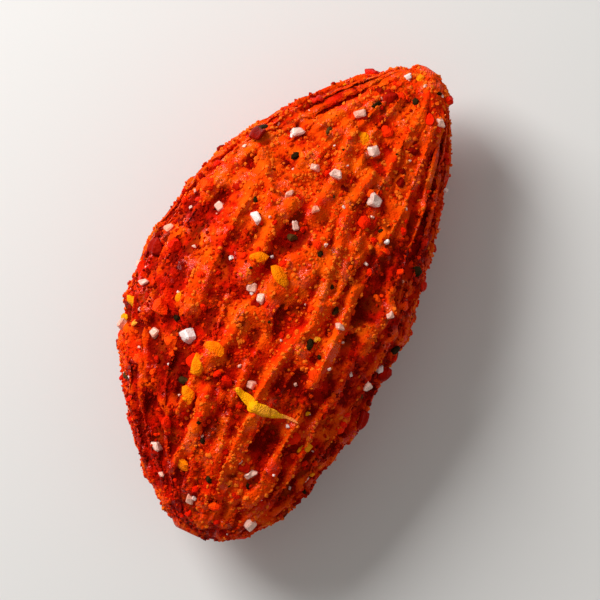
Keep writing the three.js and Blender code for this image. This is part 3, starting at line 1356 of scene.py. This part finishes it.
@dataclass(frozen=True)
class Grit:
    """Fine grit: a speckle mask, a broader mottle, and the normal of grit that stands up."""

    detail: float = 3.0
    speck_roughness: float = 0.65
    broad_roughness: float = 0.6
    broad_specks: float = 9.0
    speckle_edge: Pair = (0.38, 0.66)
    mottle_edge: Pair = (0.34, 0.66)
    height: float = 0.09

    def group(self) -> Tree:
        """The effect as a node group."""
        inputs = {"Vector": None, "Size mm": 0.12, "Relief": 0.5}
        outputs = {"Speckle": NUMBER, "Mottle": NUMBER, "Normal": VECTOR}
        bench, source, target = new_group("spice_grit", inputs, outputs)
        vector = source.outputs["Vector"]
        scale = bench.math("DIVIDE", 1 / MM, source.outputs["Size mm"])
        speck = bench.noise(vector, scale, self.detail, self.speck_roughness)
        broad_scale = bench.math("DIVIDE", scale, self.broad_specks)
        broad = bench.noise(vector, broad_scale, self.detail, self.broad_roughness)
        cells = bench.add("TexVoronoi", {"Vector": vector, "Scale": scale, "Randomness": 1.0})
        height = bench.math("SUBTRACT", speck, cells.outputs["Distance"])
        relief = {"Height": height, "Strength": source.outputs["Relief"], "Distance": self.height * MM}
        results = {
            "Speckle": bench.spread(speck, *self.speckle_edge),
            "Mottle": bench.spread(broad, *self.mottle_edge),
            "Normal": bench.add("Bump", relief).outputs["Normal"],
        }
        bench.feed(target, results)
        return bench.tree


@dataclass(frozen=True)
class OilFilm:
    """An uneven film of oil: roughness that falls from dry to oily in patches, and wet drops."""

    patch_size: float = 1.4
    patch_edge: Pair = (0.4, 0.62)
    drop_size: float = 0.7
    drop_edge: Pair = (0.54, 0.62)
    drop_detail: float = 2.0

    def group(self) -> Tree:
        """The effect as a node group."""
        inputs = {"Vector": None, "Dry": 0.7, "Oily": 0.35}
        bench, source, target = new_group("oil_film", inputs, {"Roughness": NUMBER, "Drops": NUMBER})
        vector, dry, oily = (source.outputs[name] for name in inputs)
        share = bench.patches(vector, self.patch_size, *self.patch_edge)
        rough = bench.plus(dry, bench.times(bench.math("SUBTRACT", oily, dry), share))
        drops = bench.patches(vector, self.drop_size, *self.drop_edge, self.drop_detail)
        bench.feed(target, {"Roughness": rough, "Drops": drops})
        return bench.tree


@dataclass(frozen=True)
class Effects:
    """Node groups that the finishes share, each made once."""

    grit: Tree
    oil: Tree


@dataclass(frozen=True, kw_only=True)
class Finish:
    """What every finish of the coat shares: gloss, grit and oil. Each kind adds its own colours."""

    name: str
    dry: float = 0.75
    oily: float = 0.45
    grit_mm: float = 0.1
    relief: float = 0.5
    specular: float = 0.07
    tint: Colour = (1.0, 0.2, 0.04)
    glint: float = 0.0
    glint_roughness: float = 0.22
    glint_ior: float = 1.5
    ior: float = 1.45
    transmission: float = 0.0

    def colour(self, bench: Bench, grit: Node, vector: Socket) -> Socket:
        """The finish's own colour. Each kind of finish gives its own."""
        raise NotImplementedError

    def shine(self, bench: Bench, oil: Node) -> Socket:
        """How much of a wet coat lies over the finish: its oil's drops, times its glint."""
        return bench.times(oil.outputs["Drops"], self.glint)

    def material(self, effects: Effects) -> Material:
        """The finish as a material: its colour, an oily roughness and gritty normals.

        Args:
            effects: The node groups that it is made with.

        Returns:
            The material.
        """
        made = bpy.data.materials.new(self.name)
        made.use_nodes = True
        bench = Bench(made.node_tree)
        shader = bench.add("BsdfPrincipled")
        bench.add("OutputMaterial", {"Surface": shader.outputs["BSDF"]})
        vector = bench.add("TexCoord").outputs["Object"]
        grit_inputs = {"Vector": vector, "Size mm": self.grit_mm, "Relief": self.relief}
        grit = bench.add("Group", grit_inputs, node_tree=effects.grit)
        oil_inputs = {"Vector": vector, "Dry": self.dry, "Oily": self.oily}
        oil = bench.add("Group", oil_inputs, node_tree=effects.oil)
        surface = {
            "Base Color": self.colour(bench, grit, vector),
            "Roughness": oil.outputs["Roughness"],
            "Normal": grit.outputs["Normal"],
            "Specular IOR Level": self.specular,
            "Specular Tint": self.tint,
            "IOR": self.ior,
            "Transmission Weight": self.transmission,
        }
        if self.glint:
            surface |= {
                "Coat Weight": self.shine(bench, oil),
                "Coat Normal": grit.outputs["Normal"],
                "Coat Roughness": self.glint_roughness,
                "Coat IOR": self.glint_ior,
            }
        bench.feed(shader, surface)
        return made


@dataclass(frozen=True)
class Spots:
    """Spots of one colour over the film: their size, where noise starts and fills them, and their share."""

    colour: Colour
    size: float
    start: float
    full: float
    share: float

    def mask(self, bench: Bench, vector: Socket) -> Socket:
        """Where the spots are, before their share."""
        return bench.patches(vector, self.size, self.start, self.full)


@dataclass(frozen=True, kw_only=True)
class CrustFinish(Finish):
    """Orange chili film on the ridges, red-brown in the furrows partly as painted shade, with stained, dusty
    and charred spots.
    """

    # The ramp runs from orange on the crests to dark red on the furrow floors: partly the chili's own colour,
    # partly painted shade.
    stops: Stops = (
        (0.1, (0.86, 0.052, 0.001)),
        (0.36, (0.64, 0.019, 0.0006)),
        (0.6, (0.36, 0.004, 0.0003)),
        (0.9, (0.18, 0.0016, 0.0002)),
    )
    stain: Spots = Spots((0.74, 0.008, 0.0005), size=1.5, start=0.5, full=0.62, share=0.7)
    dust: Spots = Spots((0.92, 0.1, 0.0015), size=1.2, start=0.52, full=0.66, share=0.8)
    char: Spots = Spots((0.16, 0.01, 0.0006), size=1.0, start=0.6, full=0.7, share=0.85)
    mottled: float = 0.36
    speckled: float = 0.16
    tide_push: float = 0.5
    stain_shift: Triple = (0.02, 0.05, 0.03)
    dust_edge: Pair = (0.3, 0.7)
    least_dust: float = 0.25
    clot_edge: Pair = (0.05, 0.5)
    clot_dust: float = 0.7
    shine_edge: Pair = (0.3, 0.55)

    def colour(self, bench: Bench, grit: Node, vector: Socket) -> Socket:
        """The hollows set the colour, partly as painted shade, pushed about by mottle, speckle, and patches
        of tone with painted light and shade.

        Red stains, orange dust, which the clots gather and the hollows lack, and charred spots lie over
        it. The dust keeps to where the colour is brightest, which adds to the painted light.

        Args:
            bench: The material's bench.
            grit: Its grit group.
            vector: Places on the piece.

        Returns:
            The colour.
        """
        hollow, clot, tide_and_light = (bench.attribute(name) for name in ("hollow", "clot", "tide_and_light"))
        mottle = bench.spread(grit.outputs["Mottle"], 0.0, 1.0, -self.mottled, self.mottled)
        speckle = bench.spread(grit.outputs["Speckle"], 0.0, 1.0, self.speckled, -self.speckled)
        # Painted shade in the hollows and pits, painted light on the ridges and towards the tip.
        tides = bench.times(tide_and_light, self.tide_push)
        pushed = bench.plus(bench.plus(hollow, mottle), bench.plus(speckle, tides))
        moved = bench.add("Mapping", {"Vector": vector, "Location": self.stain_shift}).outputs["Vector"]
        stained = bench.times(self.stain.mask(bench, moved), self.stain.share)
        # Painted light: the dust shows most where the colour is brightest, on the crests and towards the tip.
        lit = bench.spread(pushed, *self.dust_edge, 1.0, self.least_dust)
        clotted = bench.spread(clot, *self.clot_edge, 0.0, self.clot_dust)
        gathered = bench.plus(clotted, self.dust.mask(bench, vector))
        lit_dust = bench.times(bench.times(gathered, lit), self.dust.share)
        burnt = bench.times(self.char.mask(bench, vector), self.char.share)
        film = bench.ramp(pushed, self.stops)
        for share, spots in ((stained, self.stain), (lit_dust, self.dust), (burnt, self.char)):
            film = bench.mix(share, film, spots.colour)
        return film

    def shine(self, bench: Bench, oil: Node) -> Socket:
        """The oil's drops, kept to the ridges."""
        ridges = bench.spread(bench.attribute("hollow"), *self.shine_edge, 1.0, 0.0)
        return bench.times(super().shine(bench, oil), ridges)


@dataclass(frozen=True, kw_only=True)
class TonedFinish(Finish):
    """Bits whose colour follows the tone drawn for each, a little mottled."""

    stops: Stops
    mottled: float = 0.25

    def colour(self, bench: Bench, grit: Node, vector: Socket) -> Socket:
        """The tone's colour, with the tone pushed about by mottle."""
        push = bench.spread(grit.outputs["Mottle"], 0.0, 1.0, -self.mottled / 2, self.mottled / 2)
        return bench.ramp(bench.plus(bench.attribute("tone"), push), self.stops)


# ---- The studio ----


@dataclass(frozen=True)
class Lamp:
    """A square soft light, and the way to it as the picture shows it: right, up, and towards the camera."""

    name: str
    way: Triple
    distance: float
    size: float
    watts: float

    def build(self, picture_turn: float) -> Object:
        """Sets up the light, aimed at the origin.

        Args:
            picture_turn: The angle that the picture's right is turned from X.

        Returns:
            The light.
        """
        cos, sin = math.cos(picture_turn), math.sin(picture_turn)
        right, up, out = unit(np.array(self.way))
        data = bpy.data.lights.new(self.name, "AREA")
        data.size = self.size * MM
        data.energy = self.watts
        made = linked(self.name, data)
        made.location = np.array([right * cos - up * sin, right * sin + up * cos, out]) * self.distance * MM
        made.rotation_euler = (-made.location).to_track_quat("-Z", "Y").to_euler()
        return made


@dataclass(frozen=True)
class Studio:
    """A pale floor, a soft key light over the picture's upper left, and a camera straight above."""

    aim: Pair = (-0.17, -1.27)
    picture_turn: float = math.radians(-61.5)
    span: float = 29.3
    camera_height: float = 300.0
    sensor: float = 36.0
    nut_top: float = 8.2
    floor_size: float = 900.0
    floor_drop: float = 0.02
    floor_colour: Colour = (0.74, 0.73, 0.71)
    floor_roughness: float = 0.8
    sky_colour: Colour = (1.0, 0.98, 0.95)
    sky_strength: float = 0.3
    key: Lamp = Lamp("key", (-0.6, 0.56, 0.6), distance=160.0, size=80.0, watts=0.335)
    fill: Lamp = Lamp("fill", (0.8, -0.2, 0.7), distance=200.0, size=160.0, watts=0.012)

    def floor(self) -> Object:
        """The floor, a level sheet just under the nut, in plain matt paint."""
        material = bpy.data.materials.new("pale_floor")
        material.use_nodes = True
        shader = material.node_tree.nodes["Principled BSDF"]
        shader.inputs["Base Color"].default_value = (*self.floor_colour, 1.0)
        shader.inputs["Roughness"].default_value = self.floor_roughness
        half = self.floor_size / 2 * MM
        mesh = bpy.data.meshes.new("floor")
        corners = [(-half, -half, 0), (half, -half, 0), (half, half, 0), (-half, half, 0)]
        mesh.from_pydata(corners, [], [(0, 1, 2, 3)])
        mesh.materials.append(material)
        made = linked("floor", mesh)
        made.location.z = -self.floor_drop * MM
        return made

    def camera(self) -> Object:
        """The camera, looking straight down, turned so that the nut lies as in the picture."""
        data = bpy.data.cameras.new("camera")
        data.sensor_width = self.sensor
        data.lens = self.sensor * (self.camera_height - self.nut_top / 2) / self.span
        made = linked("camera", data)
        made.location = (self.aim[0] * MM, self.aim[1] * MM, self.camera_height * MM)
        made.rotation_euler = (0.0, 0.0, self.picture_turn)
        bpy.context.scene.camera = made
        return made

    def sky(self) -> None:
        """Even light from all round, and colours shown as they are."""
        world = bpy.data.worlds.new("studio")
        world.use_nodes = True
        light = world.node_tree.nodes["Background"]
        light.inputs["Strength"].default_value = self.sky_strength
        light.inputs["Color"].default_value = (*self.sky_colour, 1.0)
        bpy.context.scene.world = world
        bpy.context.scene.view_settings.view_transform = "Standard"

    def build(self) -> None:
        """Sets the floor, lights, sky and camera."""
        self.floor()
        self.key.build(self.picture_turn)
        self.fill.build(self.picture_turn)
        self.sky()
        self.camera()
        LOG.info("studio ready")


# ---- The marks of the upper face ----

RIDGES = (
    Ridge(((-10.3, -2.3), (-9.4, -2.05), (-8.2, -2.15), (-6.9, -2.05), (-6.0, -2.1), (-5.0, -1.75))),
    Ridge(((-5.0, -1.75), (-3.2, -1.85), (-2.0, -2.1), (-1.0, -2.45), (0.2, -2.25), (1.2, -2.0))),
    Ridge(((1.6, -1.75), (2.9, -1.7), (4.2, -1.4), (5.6, -1.3), (6.8, -1.4))),
    Ridge(((-3.4, -3.8), (-2.9, -3.65), (-2.0, -3.75), (-1.0, -3.7), (0.2, -3.55), (1.4, -3.4)), height=0.34),
    Ridge(((-2.95, -3.6), (-2.6, -2.8), (-2.1, -2.2))),
    Ridge(((-7.6, 1.2), (-6.6, 1.2), (-5.2, 1.4), (-4.2, 1.05), (-3.0, 0.8), (-2.0, 0.75)), width=0.36),
    Ridge(((-2.0, 0.75), (-1.75, 0.1), (-1.9, -0.4))),
    Ridge(((-0.6, -0.1), (0.3, -0.05), (1.5, -0.35), (2.7, -0.6)), width=0.36),
    Ridge(((-10.4, 0.35), (-9.9, 0.3), (-8.6, 0.15), (-7.2, 0.4), (-6.2, 0.6))),
    Ridge(((-1.0, -5.1), (0.4, -5.2), (1.6, -5.15)), height=0.14),
    Ridge(((-10.2, -3.0), (-8.3, -2.85)), height=0.14, width=0.4),
    Ridge(((5.4, 1.5), (6.8, 1.2), (8.0, 0.5)), height=0.14, width=0.45),
    Ridge(((-7.8, -3.9), (-9.0, -4.1), (-10.0, -3.7)), height=0.2),
    Ridge(((-0.4, 1.6), (0.6, 1.75), (1.5, 1.65), (2.8, 1.8), (3.9, 1.3)), width=0.48),
    Ridge(((3.4, 1.9), (4.0, 2.4), (4.4, 3.2), (5.4, 3.9)), height=0.2),
    Ridge(((3.6, 0.15), (5.0, 0.0), (6.2, -0.1), (7.4, 0.3))),
    Ridge(((-3.1, 3.2), (-1.4, 3.3), (0.4, 3.55), (2.4, 3.35), (3.8, 3.5)), height=0.24, width=0.55),
    Ridge(((2.2, 5.1), (3.6, 4.9), (4.9, 4.5), (6.4, 4.0)), height=0.22),
    Ridge(((7.6, 1.9), (8.8, 1.3), (10.0, 0.6)), height=0.2),
)
PITS = (
    Pit(-4.5, -3.1, 0.9, 0.6, 0.4),
    Pit(-6.9, -3.1, 1.1, 0.5),
    Pit(1.1, -4.15, 0.8, 0.4),
    Pit(2.1, 0.9, 0.9, 0.4, 0.2),
    Pit(-7.6, -0.4, 0.6, 0.4, 0.2),
    Pit(5.4, -0.65, 1.3, 0.25, 0.2),
    Pit(-3.6, 3.6, 0.45, 0.4, 0.25),
    Pit(-1.6, -1.0, 0.7, 0.35, 0.2),
    Pit(4.4, 3.9, 0.9, 0.25, 0.2),
    Pit(7.2, -1.9, 0.35, 0.8, 0.2),
    Pit(2.9, -3.6, 1.0, 0.4, 0.2),
    Pit(-2.8, -0.4, 0.7, 0.3, 0.15),
    Pit(-4.7, -0.3, 0.7, 0.3, 0.12),
    Pit(-7.2, 1.95, 1.2, 0.3, 0.12),
    Pit(-0.1, 2.5, 0.8, 0.3, 0.12),
    Pit(-0.1, 4.9, 1.3, 0.4, 0.12),
    Pit(2.7, -4.6, 1.5, 0.5, 0.12),
)
CRUMB_MARKS = (
    (-3.6, 4.75, 1.1, 0.82), (-0.8, 5.75, 0.95, 0.5), (2.6, 5.3, 1.05, 0.82), (-5.2, 2.15, 0.9, 0.5),
    (-8.6, 2.0, 0.8, 0.55), (-6.2, -4.45, 0.95, 0.55), (-6.5, 4.45, 0.9, 0.85), (-3.0, -3.75, 0.85, 0.92),
    (-11.0, -2.35, 0.75, 0.85), (2.55, -0.5, 0.6, 0.75), (9.1, -1.4, 0.75, 0.7), (4.6, -2.6, 0.85, 0.55),
    (3.7, 5.6, 0.6, 0.3), (-5.3, -0.2, 0.7, 0.35), (0.9, 0.25, 0.6, 0.6), (-4.9, 3.45, 0.7, 0.9),
    (11.6, 0.05, 0.5, 0.9), (-10.6, -1.1, 0.5, 0.4),
)
PEPPER_MARKS = (
    (-6.25, 2.0, 0.8, 0.7), (-3.75, 3.75, 0.5, 0.2), (-9.9, -1.35, 0.5, 0.5), (-1.85, -2.85, 0.6, 0.3),
    (0.2, -3.1, 0.5, 0.6), (2.3, 0.8, 0.7, 0.9), (5.9, 2.7, 0.6, 0.2), (7.7, 1.75, 0.55, 0.9),
    (9.95, -0.1, 0.6, 0.5), (11.05, -1.75, 0.5, 0.5), (2.2, -0.75, 0.4, 0.3), (-9.3, -3.5, 0.35, 0.2),
    (-8.4, -0.25, 0.4, 0.4),
)
SALT_MARKS = (
    (-3.05, 5.85, 0.61, 0.5), (-4.95, 4.5, 0.61, 0.3), (-4.3, 3.15, 0.88, 0.95), (-9.75, 1.7, 0.61, 0.5),
    (-11.0, 0.85, 0.49, 0.3), (-0.8, 1.15, 0.55, 0.35), (-1.05, 0.15, 0.67, 0.5), (-8.7, -3.3, 0.73, 0.5),
    (-11.2, -1.15, 0.55, 0.3), (-2.35, -6.0, 0.61, 0.6), (-0.4, -3.6, 0.49, 0.2), (-4.9, -1.4, 0.61, 0.3),
    (2.3, 2.65, 0.79, 0.9), (2.0, 4.45, 0.55, 0.6), (7.0, 3.05, 0.76, 0.7), (12.0, -0.6, 0.49, 0.9),
    (5.95, -0.1, 0.76, 0.6), (7.85, -1.15, 0.81, 0.7), (5.75, -2.5, 0.81, 0.7), (5.8, 1.4, 0.55, 0.3),
    (9.15, 0.6, 0.55, 0.4), (10.6, -3.1, 0.61, 0.6), (2.9, 0.9, 0.49, 0.5), (1.2, -5.0, 0.49, 0.4),
    (4.0, 2.0, 0.55, 0.15), (4.0, 0.3, 0.49, 0.1),
)
SEED_MARKS = (
    (-6.65, 1.2, 1.1, 0.15), (-5.2, 1.4, 1.1, 0.3), (-4.2, 1.05, 1.1, 0.15), (-9.9, 0.3, 0.99, 0.1),
    (-6.4, -5.25, 1.1, 0.55), (0.3, -0.05, 1.2, 0.2), (0.6, 1.8, 1.15, 0.15), (8.1, -0.35, 0.99, 0.35),
    (12.3, -1.3, 0.66, 0.35), (-5.2, 6.0, 1.1, 0.5), (-4.1, 6.2, 1.1, 0.45),
)

# ---- The coat's layers ----

SKIN_FINISH = CrustFinish(name="chili_film", dry=0.62, oily=0.36, grit_mm=0.12, relief=0.55, glint=0.55)
POWDER_STOPS = (
    (0.0, (0.2, 0.003, 0.0005)),
    (0.15, (0.46, 0.007, 0.0006)),
    (0.5, (0.68, 0.02, 0.0008)),
    (0.85, (0.85, 0.062, 0.0015)),
    (1.0, (0.92, 0.16, 0.01)),
)
POWDER_FINISH = TonedFinish(name="chili_powder", stops=POWDER_STOPS, oily=0.5, grit_mm=0.05)
CRUMB_STOPS = (
    (0.0, (0.24, 0.004, 0.001)),
    (0.45, (0.85, 0.011, 0.001)),
    (0.8, (1.0, 0.028, 0.0015)),
    (1.0, (1.0, 0.08, 0.002)),
)
CRUMB_FINISH = TonedFinish(name="chili_crumb", stops=CRUMB_STOPS, dry=0.55, oily=0.32)
FLAKE_STOPS = ((0.0, (0.16, 0.002, 0.001)), (0.6, (0.42, 0.006, 0.001)), (1.0, (0.7, 0.014, 0.002)))
FLAKE_FINISH = TonedFinish(name="chili_flake", stops=FLAKE_STOPS, dry=0.5, oily=0.28, grit_mm=0.16)
PEPPER_STOPS = ((0.0, (0.01, 0.006, 0.002)), (0.6, (0.03, 0.017, 0.005)), (1.0, (0.09, 0.04, 0.01)))
PEPPER_FINISH = TonedFinish(name="pepper", stops=PEPPER_STOPS, dry=0.7, oily=0.4)
SALT_STOPS = (
    (0.0, (0.98, 0.32, 0.18)),
    (0.35, (0.98, 0.48, 0.35)),
    (0.7, (0.98, 0.62, 0.5)),
    (0.95, (0.98, 0.8, 0.74)),
)
SALT_FINISH = TonedFinish(
    name="salt", stops=SALT_STOPS, dry=0.35, oily=0.2, relief=0.2, specular=0.4, tint=(1.0, 0.92, 0.88),
    ior=1.54, transmission=0.15,
)
SEED_STOPS = (
    (0.0, (1.0, 0.15, 0.001)),
    (0.4, (1.0, 0.28, 0.002)),
    (0.7, (1.0, 0.42, 0.003)),
    (1.0, (1.0, 0.26, 0.06)),
)
SEED_FINISH = TonedFinish(name="chili_seed", stops=SEED_STOPS, dry=0.5, oily=0.3, grit_mm=0.08)

BROAD = {"steps": (1.0, 0.03), "lowest": 0.75}
LARGE = BROAD | {"margin": 0.03, "highest": 6.0}
POWDER = Kind(
    Look.GRAIN, first=10000, tries=18000, length=(0.08, 0.22), wide=0.8, high=0.6, tilt=1.4, sunk=0.42,
    small_bias=1.7, patch=0.3, follow=0.5,
)
MEAL = Kind(
    Look.GRAIN, first=70000, tries=15000, length=(0.16, 0.34), wide=0.85, high=0.65, tilt=1.6, sunk=0.46,
    small_bias=1.5, follow=0.5,
)
LARGE_CRUMBS = Kind(
    Look.CRUMB, first=100, tries=76, length=(0.5, 1.0), wide=0.85, high=0.75, tilt=1.2, sunk=0.42,
    marks=CRUMB_MARKS, **LARGE,
)
SMALL_CRUMBS = Kind(
    Look.CRUMB, first=40000, tries=900, length=(0.2, 0.5), wide=0.8, high=0.65, tilt=1.6, sunk=0.4,
    small_bias=1.4, furrow=0.3,
)
LARGE_FLAKES = Kind(
    Look.FLAKE, first=0, tries=34, length=(0.9, 1.5), wide=0.72, high=0.2, tilt=0.2, sunk=0.35, **LARGE
)
SMALL_FLAKES = Kind(
    Look.FLAKE, first=45000, tries=110, length=(0.45, 0.9), wide=0.7, high=0.14, tilt=0.5, sunk=0.3,
    margin=0.02, **BROAD,
)
LARGE_PEPPER = Kind(
    Look.CRUMB, first=200, tries=30, length=(0.45, 0.8), wide=0.7, high=0.6, tilt=0.9, sunk=0.4,
    marks=PEPPER_MARKS, **LARGE,
)
SMALL_PEPPER = Kind(
    Look.CRUMB, first=50000, tries=90, length=(0.14, 0.36), wide=0.75, high=0.6, tilt=1.4, sunk=0.35,
    small_bias=1.4,
)
LARGE_SALT = Kind(
    Look.CRYSTAL, first=300, tries=62, length=(0.42, 0.66), wide=0.85, high=0.8, tilt=0.9, sunk=0.36,
    marks=SALT_MARKS, **LARGE,
)
SMALL_SALT = Kind(
    Look.CRYSTAL, first=55000, tries=260, length=(0.12, 0.3), wide=0.9, high=0.9, tilt=2.0, sunk=0.3,
    small_bias=1.3,
)
SEEDS = Kind(
    Look.CRUMB, first=60000, tries=40, length=(0.28, 0.62), wide=0.7, high=0.42, tilt=0.7, sunk=0.46,
    furrow=-0.8, marks=SEED_MARKS, **BROAD,
)


@dataclass(frozen=True)
class Layer:
    """One piece of the coat: the kinds of bit in it, and what they are dressed in."""

    name: str
    slot: Slot
    finish: Finish
    kinds: tuple[Kind, ...]
    smooth: bool = False

    def build(self, coat: Coat, material: Material) -> Object:
        """Lays all its bits as one piece."""
        shape = joined([coat.lay(kind) for kind in self.kinds])
        return shape.piece(self.name, self.slot, material, self.smooth)


LAYERS = (
    Layer("chili_powder", Slot.POWDER, POWDER_FINISH, (POWDER,)),
    Layer("chili_meal", Slot.POWDER, POWDER_FINISH, (MEAL,)),
    Layer("chili_crumbs", Slot.FLAKE, CRUMB_FINISH, (LARGE_CRUMBS, SMALL_CRUMBS)),
    Layer("chili_flakes", Slot.FLAKE, FLAKE_FINISH, (LARGE_FLAKES, SMALL_FLAKES), smooth=True),
    Layer("pepper_specks", Slot.PEPPER, PEPPER_FINISH, (LARGE_PEPPER, SMALL_PEPPER)),
    Layer("salt_crystals", Slot.SALT, SALT_FINISH, (LARGE_SALT, SMALL_SALT)),
    Layer("seed_bits", Slot.SEED, SEED_FINISH, (SEEDS,)),
)


def main() -> None:
    """Builds the nut's crust, each layer of its coat, the shred and the studio, and reports each."""
    kernel = Kernel()
    crust = Crust(kernel, RIDGES, PITS)
    coat = Coat(kernel, crust)
    effects = Effects(Grit().group(), OilFilm().group())
    crust.build(SKIN_FINISH.material(effects))
    finishes = dict.fromkeys(layer.finish for layer in LAYERS)
    materials = {finish: finish.material(effects) for finish in finishes}
    for layer in LAYERS:
        layer.build(coat, materials[layer.finish])
    Fibre(kernel, crust).build(materials[SEED_FINISH])
    Studio().build()


if __name__ == "__main__":
    logging.basicConfig(level=logging.INFO, format="%(name)s %(message)s", stream=sys.stdout)
    main()
